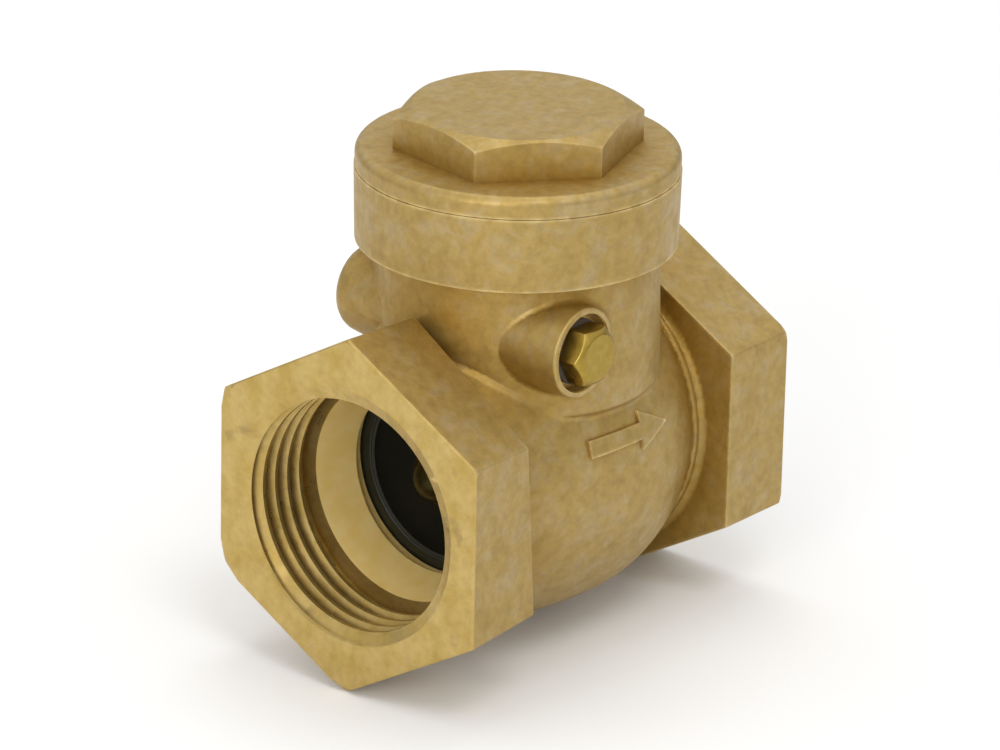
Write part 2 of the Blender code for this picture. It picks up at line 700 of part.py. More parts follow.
def make_holder(parts, brass, pivot):
    """The disc holder: a round plate with a lip round the seal, a stud behind and a screw hole in front."""
    lip_front = HOLDER_FLOOR - HOLDER_LIP_HEIGHT
    hole_r = SCREW_SHANK_R + THREAD_GAP
    hole_end = SCREW_TIP + REST_GAP
    profile = [
        (0, STUD_END),
        (STUD_R - STUD_EDGE, STUD_END),
        (STUD_R, STUD_END - STUD_EDGE),
        (STUD_R, HOLDER_BACK),
        (DISC_R - HOLDER_EDGE, HOLDER_BACK),
        (DISC_R, HOLDER_BACK - HOLDER_EDGE),
        (DISC_R, lip_front),
        (DISC_R - HOLDER_LIP, lip_front),
        (DISC_R - HOLDER_LIP, HOLDER_FLOOR),
        (hole_r, HOLDER_FLOOR),
        (hole_r, hole_end),
        (0, hole_end),
    ]
    holder = turned("disc_holder", profile, parts)
    holder.parent = pivot
    return settle(holder, brass)


def make_seal(parts, rubber, pivot):
    """The rubber seal: a flat sealing band round a shallow recess, where its screw and washer sit."""
    inner = SCREW_SHANK_R + REST_GAP
    recess_r = PORT_R - SEAL_FACE_INSET
    back = SEAL_FRONT + SEAL_THICKNESS
    profile = [
        (SEAL_R, back),
        (SEAL_R, SEAL_FRONT),
        (recess_r, SEAL_FRONT),
        (recess_r - SEAL_FACE_STEP, SEAL_FACE),
        (inner, SEAL_FACE),
        (inner, back),
    ]
    seal = turned("seal_disc", profile, parts)
    seal.parent = pivot
    return settle(seal, rubber)


def make_seal_screw(parts, brass, dark_steel, pivot):
    """The domed screw and its washer, which hold the seal against the holder."""
    inner = SCREW_SHANK_R + REST_GAP
    washer_profile = ring_profile(inner, SEAL_WASHER_R, SEAL_WASHER_FRONT, SEAL_WASHER_BACK)
    washer = turned("seal_washer", washer_profile, parts, SMALL_STEPS)
    washer.parent = pivot
    settle(washer, dark_steel)

    head_front = SCREW_HEAD_BACK - SCREW_HEAD_HEIGHT
    dome_r = (SCREW_HEAD_R**2 + SCREW_HEAD_HEIGHT**2) / (2 * SCREW_HEAD_HEIGHT)
    dome_angle = math.asin(SCREW_HEAD_R / dome_r)
    dome = arc((0, head_front + dome_r), dome_r, -math.pi / 2 + dome_angle, -math.pi / 2, 2 * ARC_STEPS)
    profile = [(0, SCREW_TIP), (SCREW_SHANK_R, SCREW_TIP), (SCREW_SHANK_R, SCREW_HEAD_BACK)]
    profile += dome[:-1]
    profile.append((0, head_front))
    screw = turned("seal_screw", profile, parts, SMALL_STEPS)
    screw.parent = pivot
    return settle(screw, brass)


def make_nut(parts, cutters, brass, pivot):
    """The nut and washer that hold the hanger's hub on the disc's stud."""
    inner = STUD_R + REST_GAP
    washer_end = NUT_WASHER_FRONT + NUT_WASHER_THICKNESS
    washer_profile = ring_profile(inner, NUT_WASHER_R, NUT_WASHER_FRONT, washer_end)
    washer = turned("nut_washer", washer_profile, parts, SMALL_STEPS)
    washer.parent = pivot
    settle(washer, brass)

    nut_end = NUT_FRONT + NUT_HEIGHT
    nut = chamfered_hexagon(
        "disc_nut", NUT_FLATS / 2, NUT_FRONT, nut_end, NUT_CHAMFER,
        HEX_CHAMFER_ANGLE, False, parts, cutters,
    )
    bore_profile = rod_profile(inner, NUT_FRONT - CUT_MARGIN, nut_end + CUT_MARGIN)
    bore = turned("nut_bore", bore_profile, cutters, SMALL_STEPS)
    cut(nut, bore)
    envelope = bpy.data.objects["disc_nut_corners"]
    for piece in (nut, bore, envelope):
        piece.parent = pivot
    return settle(nut, brass)


def main():
    clear_scene()
    parts = make_collection("swing_check_valve")
    cutters = make_collection("cutters")

    forged_brass = make_material("forged_brass", (0.42, 0.30, 0.12), 0.45, 1.0)
    turned_brass = make_material("turned_brass", (0.60, 0.44, 0.18), 0.28, 1.0)
    steel = make_material("pin_steel", (0.55, 0.55, 0.56), 0.30, 1.0)
    dark_steel = make_material("washer_steel", (0.10, 0.09, 0.07), 0.45, 1.0)
    rubber = make_material("seal_rubber", (0.012, 0.013, 0.012), 0.60, 0.0)
    fibre = make_material("gasket_fibre", (0.09, 0.07, 0.05), 0.85, 0.0)

    make_body(parts, cutters, forged_brass)
    make_cap(parts, cutters, forged_brass)
    make_gasket(parts, fibre)
    make_pin(parts, steel)
    make_plug(parts, cutters, turned_brass, fibre)

    flap_pivot = make_pivot("flap_pivot", (PIN_X, 0, PIN_Z), ALONG_SEAT, parts)
    behind, above = pin_from_seat()
    disc_pivot = make_pivot("disc_pivot", (above, 0, -behind), (0, 0, 0), parts, flap_pivot)
    make_hanger(parts, cutters, turned_brass, flap_pivot)
    make_holder(parts, turned_brass, disc_pivot)
    make_seal(parts, rubber, disc_pivot)
    make_seal_screw(parts, turned_brass, dark_steel, disc_pivot)
    make_nut(parts, cutters, turned_brass, disc_pivot)


main()
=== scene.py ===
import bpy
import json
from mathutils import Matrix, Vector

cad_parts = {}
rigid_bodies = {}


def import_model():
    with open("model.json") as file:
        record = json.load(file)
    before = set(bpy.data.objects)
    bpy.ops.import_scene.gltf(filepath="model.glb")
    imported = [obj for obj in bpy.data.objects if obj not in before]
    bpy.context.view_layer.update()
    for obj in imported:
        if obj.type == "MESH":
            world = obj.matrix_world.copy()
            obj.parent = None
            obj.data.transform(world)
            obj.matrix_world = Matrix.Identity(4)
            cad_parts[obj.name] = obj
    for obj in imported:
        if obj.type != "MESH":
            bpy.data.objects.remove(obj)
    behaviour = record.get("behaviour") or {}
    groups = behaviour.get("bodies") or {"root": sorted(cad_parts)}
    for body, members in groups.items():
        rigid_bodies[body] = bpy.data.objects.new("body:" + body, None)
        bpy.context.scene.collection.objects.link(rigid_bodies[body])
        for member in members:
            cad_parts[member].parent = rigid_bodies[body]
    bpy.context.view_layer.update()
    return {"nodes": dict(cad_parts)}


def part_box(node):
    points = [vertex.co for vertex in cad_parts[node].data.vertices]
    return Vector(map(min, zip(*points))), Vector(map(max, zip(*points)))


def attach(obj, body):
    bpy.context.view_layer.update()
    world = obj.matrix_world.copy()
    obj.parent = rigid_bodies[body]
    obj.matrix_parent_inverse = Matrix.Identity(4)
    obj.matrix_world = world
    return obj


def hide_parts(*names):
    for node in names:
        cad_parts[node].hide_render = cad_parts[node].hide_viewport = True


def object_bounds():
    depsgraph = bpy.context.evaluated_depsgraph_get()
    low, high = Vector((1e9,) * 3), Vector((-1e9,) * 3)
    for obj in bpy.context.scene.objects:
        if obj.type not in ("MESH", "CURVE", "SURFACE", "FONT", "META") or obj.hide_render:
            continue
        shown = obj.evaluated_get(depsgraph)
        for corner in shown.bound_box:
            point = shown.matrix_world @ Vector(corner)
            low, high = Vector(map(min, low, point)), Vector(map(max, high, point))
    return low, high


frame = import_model()
print("nodes:", sorted(frame["nodes"]))

# %% [markdown]
# The pieces are placed from the solids they stand for, so a few centres are measured from the nodes'
# boxes: the inlet face is at X = 0, the cap's middle gives the neck, and the hinge pin's middle gives the
# hinge.
# %% Measure the places to build from
import json
import math

import bmesh
import bpy
import numpy as np
from mathutils import Matrix, Vector

MM = 0.001


def middle_of(node):
    low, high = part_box(node)
    return (low + high) / 2


FACE_TO_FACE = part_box("valve_body")[1].x
FACE_MM = FACE_TO_FACE / MM
NECK_X = middle_of("cap").x
HINGE = middle_of("hinge_pin")
SEAT_X = 18.345 * MM
SEAT_TILT = math.radians(2)
print("length %.1f mm, neck at %.2f mm, pin at %.2f, %.2f mm" % (
    FACE_MM, NECK_X / MM, HINGE.x / MM, HINGE.z / MM))

# %% [markdown]
# Most of this valve is round, because it is machined on a lathe or forged in round dies. In Blender the
# same shape comes from half a section turned about an axis by the Screw modifier. The section is a list
# of radius and height. Drawing the faces one by one would be longer, and a section is what a drawing of
# the real piece shows. The few forms that aren't round are built from rings of points, with faces from
# each ring to the next.
# %% Turn a section into a solid
ALONG_PIPE = (0, math.pi / 2, 0)
BACK_ALONG_PIPE = (0, -math.pi / 2, 0)
ALONG_SEAT = (0, math.pi / 2 - SEAT_TILT, 0)
TOWARDS_FRONT = (math.pi / 2, 0, 0)
TOWARDS_BACK = (-math.pi / 2, 0, 0)


def link(mesh, name):
    piece = bpy.data.objects.new(name, mesh)
    bpy.context.scene.collection.objects.link(piece)
    return piece


def built(shape, name):
    """Makes a piece of the faces that were drawn so far."""
    mesh = bpy.data.meshes.new(name)
    shape.to_mesh(mesh)
    shape.free()
    return link(mesh, name)


def join_rings(shape, rings):
    """Draws the faces from each ring of points to the next."""
    for near, far in zip(rings, rings[1:]):
        for i in range(len(near)):
            j = (i + 1) % len(near)
            shape.faces.new((near[i], near[j], far[j], far[i]))


def made_real(piece):
    """Turns a piece's modifiers and its place into plain mesh."""
    bpy.context.view_layer.update()
    seen = piece.evaluated_get(bpy.context.evaluated_depsgraph_get())
    mesh = bpy.data.meshes.new_from_object(seen)
    mesh.transform(piece.matrix_world)
    piece.modifiers.clear()
    piece.data = mesh
    piece.matrix_world = Matrix.Identity(4)
    return piece


def turned(name, section, steps=96, at=(0, 0, 0), turn=(0, 0, 0), stretch_y=1.0):
    points = [(radius * MM, 0, height * MM) for radius, height in section]
    edges = [(i, i + 1) for i in range(len(points) - 1)]
    if min(radius for radius, _ in section) > 0:
        edges.append((len(points) - 1, 0))
    mesh = bpy.data.meshes.new(name)
    mesh.from_pydata(points, edges, [])
    piece = link(mesh, name)
    screw = piece.modifiers.new("Turn", "SCREW")
    screw.steps = screw.render_steps = steps
    screw.use_merge_vertices = True
    screw.merge_threshold = 0.002 * MM
    piece.rotation_euler = turn
    piece.location = at
    made_real(piece)
    piece.data.transform(Matrix.Diagonal((1, stretch_y, 1, 1)))
    shape = bmesh.new()
    shape.from_mesh(piece.data)
    bmesh.ops.recalc_face_normals(shape, faces=shape.faces)
    shape.to_mesh(piece.data)
    shape.free()
    return piece


def corner_radius(half_width):
    """How far a hexagon's corners are from its middle."""
    return half_width / math.cos(math.pi / 6)


def bow(centre, radius, start, end, steps=6):
    """Points on a rounded corner of a section, from one angle to another, in degrees."""
    return [(centre[0] + radius * math.cos(math.radians(start + (end - start) * i / steps)),
             centre[1] + radius * math.sin(math.radians(start + (end - start) * i / steps)))
            for i in range(steps + 1)]


# %% [markdown]
# Solids are then joined and cut, as a maker joins dies and drills holes. The Boolean modifier does it,
# and each result is made real at once, so that the next cut works on plain mesh. A cut surface gets
# another finish than a forged one, so each tool carries the mark of the surface that it leaves.
# %% Join and cut solids
RAW_BRASS = bpy.data.materials.new("forged_brass")
CUT_BRASS = bpy.data.materials.new("machined_brass")
BORED_LIT_BRASS = bpy.data.materials.new("bored_lit_brass")
RAW, CUT, BORED = 0, 1, 2


def surfaces(piece, kind):
    """Marks every face of a piece as raw, cut or bored, so that each kind gets its own finish later."""
    piece.data.materials.clear()
    for finish in (RAW_BRASS, CUT_BRASS, BORED_LIT_BRASS):
        piece.data.materials.append(finish)
    piece.data.polygons.foreach_set("material_index", [kind] * len(piece.data.polygons))


def worked(piece, tool, operation, kind=CUT):
    """Joins or cuts with a tool. A kind of None keeps the marks that the tool's faces already have."""
    if kind is not None:
        surfaces(tool, kind)
    step = piece.modifiers.new(operation, "BOOLEAN")
    step.operation = operation
    step.solver = "MANIFOLD"
    step.object = tool
    made_real(piece)
    bpy.data.objects.remove(tool, do_unlink=True)
    return piece


def open_edges(piece):
    shape = bmesh.new()
    shape.from_mesh(piece.data)
    count = sum(1 for edge in shape.edges if not edge.is_manifold)
    shape.free()
    return count


def report(piece):
    piece.data.calc_loop_triangles()
    print("%s: %d triangles, %d open edges" % (piece.name, len(piece.data.loop_triangles), open_edges(piece)))


# %% [markdown]
# The spanner hexagons are forged with the body. Dies need a little draught to let go of the metal, so the
# inlet's hexagon is fuller at the face than at its rear. A forging is never quite square either: that
# rear end slants, so each of its six corners gets its own place along the pipe. The list starts at the
# top corner and goes round over the viewer's side.
# %% Shape the two hexagons
HEX_HALF = 20.5
HEX_REAR_HALF = 19.8
OUTLET_DRAUGHT = 0.1
HEX_CORNER_R = corner_radius(HEX_HALF)
# corners: top, front high, front low, bottom, back low, back high
INLET_REARS = (13.0, 11.1, 13.0, 12.6, 12.6, 12.8)
INLET_BAR_END = -1.0
OUTLET_REAR = 51.5
OUTLET_BAR_END = 64.4


def hexagon_stack(name, rings):
    """A six-sided solid along the pipe. Each ring gives its six corners' places in X and half its width."""
    shape = bmesh.new()
    loops = []
    for places, half_width in rings:
        corner_r = corner_radius(half_width)
        loop = []
        for corner, x in enumerate(places):
            angle = math.pi / 2 + corner * math.pi / 3
            across, upward = corner_r * math.cos(angle), corner_r * math.sin(angle)
            loop.append(shape.verts.new((x * MM, across * MM, upward * MM)))
        loops.append(loop)
    join_rings(shape, loops)
    for loop, (places, _) in ((loops[0], rings[0]), (loops[-1], rings[-1])):
        middle = shape.verts.new((sum(places) / 6 * MM, 0, 0))
        for i in range(6):
            shape.faces.new((loop[i], loop[(i + 1) % 6], middle))
    bmesh.ops.recalc_face_normals(shape, faces=shape.faces)
    return built(shape, name)


inlet_bar = hexagon_stack("inlet_bar", [([INLET_BAR_END] * 6, HEX_HALF), (INLET_REARS, HEX_REAR_HALF)])
outlet_bar = hexagon_stack("outlet_bar", [
    ([OUTLET_REAR] * 6, HEX_HALF - OUTLET_DRAUGHT), ([OUTLET_BAR_END] * 6, HEX_HALF)])
print("hexagons: %.1f mm across the corners" % (2 * HEX_CORNER_R))

# %% [markdown]
# Between the hexagons the body swells into a belly, which gives the disc room to swing. It is an ellipse
# on each side of its widest place, a little narrower from side to side than from top to bottom. A round
# neck stands on it, with a collar for the cap, and two bosses stick out at the hinge pin's ends. The near
# boss has a rim that stands round the plug, and the far one is blind and domed.
# %% Shape the belly, the neck and the bosses
CROWN_PAST_NECK = 4.7
CROWN_X = NECK_X / MM + CROWN_PAST_NECK
BELLY_HALF_HEIGHT = 21.8
BELLY_HALF_WIDTH = 19.25
BELLY_NARROWING = BELLY_HALF_WIDTH / BELLY_HALF_HEIGHT
UP_REACH = 40.0
DOWN_REACH = 21.4
WAIST_R = 16.9
BELLY_START, BELLY_END = 6.0, 49.9
BELLY_STEPS = 60
OUTLET_RING_R = 18.1
OUTLET_RING_X = 50.1
RING_END = 57.0
RING_EDGE = 0.7
NECK_R = 18.0
NECK_FOOT_R, NECK_FOOT_Z = 18.55, 11.3
NECK_LIP = 1.1
COLLAR_R, COLLAR_FOOT_R = 20.5, 20.3
COLLAR_TOP_Z, COLLAR_FOOT_Z = 37.6, 28.1
BOSS_R = 5.8
BOSS_REACH, BLIND_BOSS_REACH = 18.5, 17.7
RIM_EDGE, DOME_EDGE = 0.35, 2.2
BOSS_ROOT = 5.0


def belly_radius(x):
    reach = DOWN_REACH if x > CROWN_X else UP_REACH
    share = min(abs(x - CROWN_X) / reach, 1.0)
    return BELLY_HALF_HEIGHT * math.sqrt(1 - share * share)


belly_section = [(0, RING_END), (OUTLET_RING_R, RING_END)]
belly_section += bow((OUTLET_RING_R - RING_EDGE, OUTLET_RING_X + RING_EDGE), RING_EDGE, 0, -80, 4)
places = [BELLY_START + (BELLY_END - BELLY_START) * i / BELLY_STEPS for i in range(BELLY_STEPS + 1)]
belly_section += [(max(belly_radius(x), WAIST_R), x) for x in reversed(places)]
belly_section += [(0, BELLY_START)]
belly = turned("belly", belly_section, 160, turn=ALONG_PIPE, stretch_y=BELLY_NARROWING)

neck_section = [(0, 36.0), (NECK_R, 36.0), (NECK_R, 28.4), (NECK_FOOT_R, NECK_FOOT_Z)]
neck_section += bow((NECK_FOOT_R - NECK_LIP, NECK_FOOT_Z), NECK_LIP, 0, -90)[1:]
neck_section += [(0, NECK_FOOT_Z - NECK_LIP)]
neck = turned("neck", neck_section, 160, at=(NECK_X, 0, 0))
collar_section = [(0, COLLAR_TOP_Z), (COLLAR_R, COLLAR_TOP_Z)]
collar_section += [(COLLAR_FOOT_R, COLLAR_FOOT_Z), (0, COLLAR_FOOT_Z)]
collar = turned("collar", collar_section, 160, at=(NECK_X, 0, 0))

hinge_line = (HINGE.x, 0, HINGE.z)
rimmed = [(0, BOSS_REACH), (4.0, BOSS_REACH)]
rimmed += bow((BOSS_R - RIM_EDGE, BOSS_REACH - RIM_EDGE), RIM_EDGE, 90, 0)
rimmed += [(6.1, BOSS_ROOT), (0, BOSS_ROOT)]
near_boss = turned("near_boss", rimmed, 64, hinge_line, TOWARDS_FRONT)
domed = [(0, BLIND_BOSS_REACH)]
domed += bow((BOSS_R - DOME_EDGE, BLIND_BOSS_REACH - DOME_EDGE), DOME_EDGE, 90, 0)
domed += [(7.4, BOSS_ROOT), (0, BOSS_ROOT)]
far_boss = turned("far_boss", domed, 64, hinge_line, TOWARDS_BACK)

# %% [markdown]
# A forging has no sharp inner corners: the metal flows round a radius wherever two forms meet. Bevels
# can't follow such curves, so the forms are put into one object, remeshed into even small squares and
# smoothed a few times. That fills the roots, but it also wears the edges away. They come back from a
# crisp copy of every form, joined over the melted body, which is first drawn in by a hair so that the
# crisp faces win where the two lie together.
# %% Forge the body in one piece
VOXEL = 0.5 * MM
DRAWN_IN = 0.06
BAR_EDGE = 0.30


def soften(piece, width_mm, degrees):
    """Rounds the edges that turn by more than an angle, as wear does."""
    worn = piece.modifiers.new("Worn edges", "BEVEL")
    worn.width = width_mm * MM
    worn.segments = 2
    worn.limit_method = "ANGLE"
    worn.angle_limit = math.radians(degrees)
    return made_real(piece)


def melted_together(name, pieces, voxel):
    shape = bmesh.new()
    for piece in pieces:
        shape.from_mesh(piece.data)
        bpy.data.objects.remove(piece, do_unlink=True)
    whole = built(shape, name)
    remesh = whole.modifiers.new("Even squares", "REMESH")
    remesh.mode = "VOXEL"
    remesh.voxel_size = voxel
    return made_real(whole)


def fill_roots(piece, rounds, fill, wear):
    """Smooths a mesh with fill where the surface is hollow, and with wear where it bulges."""
    mesh = piece.data
    count = len(mesh.vertices)
    spots = np.zeros(count * 3)
    mesh.vertices.foreach_get("co", spots)
    spots = spots.reshape(-1, 3)
    ends = np.zeros(len(mesh.edges) * 2, np.int32)
    mesh.edges.foreach_get("vertices", ends)
    ends = ends.reshape(-1, 2)
    neighbours = np.bincount(ends.ravel(), minlength=count)[:, None]
    for _ in range(rounds):
        out = np.zeros(count * 3)
        mesh.vertices.foreach_get("normal", out)
        out = out.reshape(-1, 3)
        total = np.zeros_like(spots)
        for axis in range(3):
            total[:, axis] = np.bincount(ends[:, 0], spots[ends[:, 1], axis], count)
            total[:, axis] += np.bincount(ends[:, 1], spots[ends[:, 0], axis], count)
        move = total / neighbours - spots
        outward = (move * out).sum(1, keepdims=True)
        share = np.where(outward > 0, fill, wear)
        spots = spots + out * outward * share + (move - out * outward) * fill
        mesh.vertices.foreach_set("co", spots.ravel())
        mesh.update()
    return piece


def shrunk(piece, by_mm):
    """Moves every point straight in by a small distance."""
    mesh = piece.data
    count = len(mesh.vertices)
    spots, out = np.zeros(count * 3), np.zeros(count * 3)
    mesh.vertices.foreach_get("co", spots)
    mesh.vertices.foreach_get("normal", out)
    mesh.vertices.foreach_set("co", spots - out * by_mm * MM)
    mesh.update()
    return piece


forms = [inlet_bar, outlet_bar, belly, neck, near_boss, far_boss, collar]
crisp = [link(form.data.copy(), "crisp_" + form.name) for form in forms]
body = melted_together("body", forms, VOXEL)
shrunk(fill_roots(body, 3, 0.5, 0.5), DRAWN_IN)
surfaces(body, RAW)
for bar in crisp[:2]:
    soften(bar, BAR_EDGE, 50)
for form in crisp:
    worked(body, form, "UNION", RAW)
report(body)

# %% [markdown]
# A check valve works one way round only, so its body carries a raised arrow that shows the flow. In the
# forging die it is a shallow groove with sloping sides. Here the arrow is a flat outline given thickness
# and sloping sides, trimmed to the belly's own curve a little way out, so that it stands the same height
# everywhere.
# %% Raise the flow arrow
ARROW_HEIGHT = 0.45
ARROW_Z = 6.1
ARROW = [(26.4, -0.45), (35.6, -0.45), (35.6, -1.55), (38.8, 0.0), (35.6, 1.55), (35.6, 0.45), (26.4, 0.45)]
SLOPE = 0.22
# depths across the valve, and how far the outline is let out at each
ARROW_LAYERS = ((-21.5, 0.0), (-18.6, SLOPE * 3), (-17.0, SLOPE * 3))


def shifted_out(outline, by):
    """An outline with each corner moved out by a distance, square to both of its sides."""
    moved = []
    count = len(outline)
    for i in range(count):
        before, here, after = (Vector(outline[(i + step) % count]) for step in (-1, 0, 1))
        first = (here - before).normalized()
        second = (after - here).normalized()
        out = (Vector((first.y, -first.x)) + Vector((second.y, -second.x)))
        out = out / out.length_squared * 2
        moved.append(here + out * by)
    return moved


arrow_shape = bmesh.new()
arrow_rings = []
for depth, by in ARROW_LAYERS:
    ring = [arrow_shape.verts.new((x * MM, depth * MM, (ARROW_Z + z) * MM)) for x, z in shifted_out(ARROW, by)]
    arrow_rings.append(ring)
join_rings(arrow_shape, arrow_rings)
arrow_shape.faces.new(arrow_rings[0])
arrow_shape.faces.new(list(reversed(arrow_rings[-1])))
bmesh.ops.recalc_face_normals(arrow_shape, faces=arrow_shape.faces)
arrow = built(arrow_shape, "flow_arrow")
raised = [(0, 49.0)] + [(belly_radius(x) + ARROW_HEIGHT, x) for x in reversed(places[8:])] + [(0, places[8])]
raised_belly = turned("raised_belly", raised, 160, turn=ALONG_PIPE, stretch_y=BELLY_NARROWING)
worked(arrow, raised_belly, "INTERSECT", RAW)
surfaces(arrow, RAW)
worked(body, arrow, "UNION", RAW)
report(body)

# %% [markdown]
# Next the machine shop takes over. The ends are faced flat, and the corners of each end are turned off by
# a shallow cone. The part sat a little off centre in the lathe, so one corner of the inlet loses more
# than the others. Both come from an intersection with a turned shape that is wider than the body
# everywhere else. A third one, with a stack of hexagons, blunts the edge that runs round each face.
# %% Face the ends
CORNER_LOSS = 1.05
CONE_LENGTH = 45
LATHE_OFFSET = (-0.75, 0.45)
EDGE = 0.28
SLACK = 0.05
PAST_SLACK = 0.06
CLEAR_OF_ALL = 60.0


def facing_shape(name, offset, x, turn):
    flat_r = HEX_CORNER_R - CORNER_LOSS
    wide_r = flat_r + CONE_LENGTH * math.sqrt(3)
    section = [(0, 0), (flat_r, 0), (wide_r, CONE_LENGTH), (wide_r, 80), (0, 80)]
    return turned(name, section, 128, at=(x, offset[0] * MM, offset[1] * MM), turn=turn)


worked(body, facing_shape("inlet_facing", LATHE_OFFSET, 0, ALONG_PIPE), "INTERSECT")
worked(body, facing_shape("outlet_facing", (0, 0), FACE_TO_FACE, BACK_ALONG_PIPE), "INTERSECT")
blunted = [
    ([0.0] * 6, HEX_HALF - EDGE),
    ([EDGE + SLACK] * 6, HEX_HALF + SLACK),
    ([EDGE + PAST_SLACK] * 6, CLEAR_OF_ALL),
    ([FACE_MM - EDGE - PAST_SLACK] * 6, CLEAR_OF_ALL),
    ([FACE_MM - EDGE - SLACK] * 6, HEX_HALF + SLACK),
    ([FACE_MM] * 6, HEX_HALF - EDGE),
]
worked(body, hexagon_stack("blunted_edges", blunted), "INTERSECT")
report(body)

# %% [markdown]
# The inside is bored from three sides: a socket from each end and the inlet's port, the chest that the
# disc swings in, and the neck's bore with the cap's thread. The hinge pin's hole comes in from the front
# boss. The cutters are joined first, the seat is taken out of them so that it stays standing, and one cut
# then opens the whole body. The inlet's port is bored finer than the rest, so its cutter's mark differs,
# and the one cut keeps all the marks.
# %% Bore the inside
SOCKET_DEPTH = 11.213
MINOR_R = 15.15
RELIEF_R = 16.5
RELIEF_START = 9.5
MOUTH_R, MOUTH_DEPTH = 16.95, 0.8
OUTSIDE = -1.5
CHEST_R, CHEST_END_R = 17.8, 14.65
CHEST_WALL = 2.25
CHEST_NARROWING = 2.0
CHEST_START, SEAT_BACK_X = 16.4, 18.3
CHEST_STEPS = 40
NECK_BORE_R = 15.3
COLLAR_BORE_R, COLLAR_BORE_END_Z = 16.5, 29.16
BORE_STEP = 1.2
GASKET_SEAT_R, GASKET_SEAT_Z = 18.5, 36.46
SEAT_R, SEAT_HEIGHT, SEAT_EDGE = 13.8, 0.9, 0.25
SEAT_BLOCK_R, SEAT_BLOCK_END = 18.8, -18.7
COUNTERBORE_R, COUNTERBORE_END = 4.9, 16.8
PLUG_HOLE_R, PLUG_HOLE_END = 3.2, 15.2
PIN_R, PIN_END = 1.6, -15.1


def socket(name, x, turn):
    section = [(0, SOCKET_DEPTH), (RELIEF_R, SOCKET_DEPTH), (RELIEF_R, RELIEF_START)]
    section += [(MINOR_R, RELIEF_START), (MINOR_R, MOUTH_DEPTH), (MOUTH_R, 0)]
    section += [(MOUTH_R, OUTSIDE), (0, OUTSIDE)]
    return turned(name, section, 128, at=(x, 0, 0), turn=turn)


def chest_radius(x):
    """Follows the belly behind its widest place, and narrows gently from there to the seat."""
    if x > CROWN_X:
        return max((CHEST_R + CHEST_WALL) / BELLY_HALF_HEIGHT * belly_radius(x) - CHEST_WALL, CHEST_END_R)
    share = (CROWN_X - max(x, SEAT_BACK_X)) / (CROWN_X - SEAT_BACK_X)
    return CHEST_R - CHEST_NARROWING * share * share


chest_end = FACE_MM - SOCKET_DEPTH + 1
chest_places = [CHEST_START + (chest_end - CHEST_START) * i / CHEST_STEPS for i in range(CHEST_STEPS + 1)]
chest_section = [(0, chest_places[-1])]
chest_section += [(chest_radius(x), x) for x in reversed(chest_places)]
chest_section += [(0, CHEST_START)]
hollow = turned("hollow", chest_section, 128, turn=ALONG_PIPE)
surfaces(hollow, CUT)
neck_bore = [(0, 38.6), (GASKET_SEAT_R, 38.6), (GASKET_SEAT_R, GASKET_SEAT_Z), (COLLAR_BORE_R, GASKET_SEAT_Z)]
neck_bore += [(COLLAR_BORE_R, COLLAR_BORE_END_Z), (NECK_BORE_R, COLLAR_BORE_END_Z - BORE_STEP)]
neck_bore += [(NECK_BORE_R, 6), (0, 6)]
worked(hollow, turned("neck_bore", neck_bore, 128, at=(NECK_X, 0, 0)), "UNION")
seat = [(0, 0), (SEAT_R - SEAT_EDGE, 0)] + bow((SEAT_R - SEAT_EDGE, -SEAT_EDGE), SEAT_EDGE, 90, 0, 3)[1:]
seat += [(SEAT_R, -SEAT_HEIGHT), (SEAT_BLOCK_R, -SEAT_HEIGHT)]
seat += [(SEAT_BLOCK_R, SEAT_BLOCK_END), (0, SEAT_BLOCK_END)]
worked(hollow, turned("seat", seat, 128, at=(SEAT_X, 0, 0), turn=ALONG_SEAT), "DIFFERENCE")
worked(hollow, socket("inlet_socket", 0, ALONG_PIPE), "UNION")
worked(hollow, socket("outlet_socket", FACE_TO_FACE, BACK_ALONG_PIPE), "UNION")
port = [(0, 19.8), (13.0, 19.8), (13.0, 17.545)] + bow((12.7, 16.9), 0.3, 150, 210, 3)
port += [(14.25, 11.2), (14.25, 10.2), (0, 10.2)]
worked(hollow, turned("port", port, 128, turn=ALONG_PIPE), "UNION", BORED)
pin_bore = [(0, 21.5), (5.6, 21.5), (5.05, BOSS_REACH), (COUNTERBORE_R, 18.3)]
pin_bore += [(COUNTERBORE_R, COUNTERBORE_END), (PLUG_HOLE_R, COUNTERBORE_END), (PLUG_HOLE_R, PLUG_HOLE_END)]
pin_bore += [(PIN_R, PLUG_HOLE_END), (PIN_R, PIN_END), (0, PIN_END)]
worked(hollow, turned("pin_bore", pin_bore, 64, hinge_line, TOWARDS_FRONT), "UNION")
report(hollow)
worked(body, hollow, "DIFFERENCE", None)
report(body)

# %% [markdown]
# A thread is a groove that climbs round the bore, 11 turns to the inch for this pipe. A stack of rings
# would look similar but would screw on to nothing. Here a small rounded section is carried along a helix,
# one step for each few degrees, and the band it sweeps is cut away. It starts outside the mouth and runs
# out into the relief groove, as a tap does. The cap's finer thread comes from the same function.
# %% Tap the sockets and the collar
STEPS_A_TURN = 96
PIPE_PITCH = 25.4 / 11
PIPE_GROOVE = [(-1.06, -0.35), (-0.84, 0.12), (-0.30, 1.22), (-0.13, 1.42)]
PIPE_GROOVE += [(-side, depth) for side, depth in reversed(PIPE_GROOVE)]
TAP_START, RUN_OUT = -1.7, 0.6
CAP_PITCH = 1.5
COLLAR_GROOVE = [(-0.72, -0.2), (-0.12, 0.75), (0.12, 0.75), (0.72, -0.2)]
COLLAR_TAP_Z, COLLAR_TAP_END_Z = 37.4, 29.6


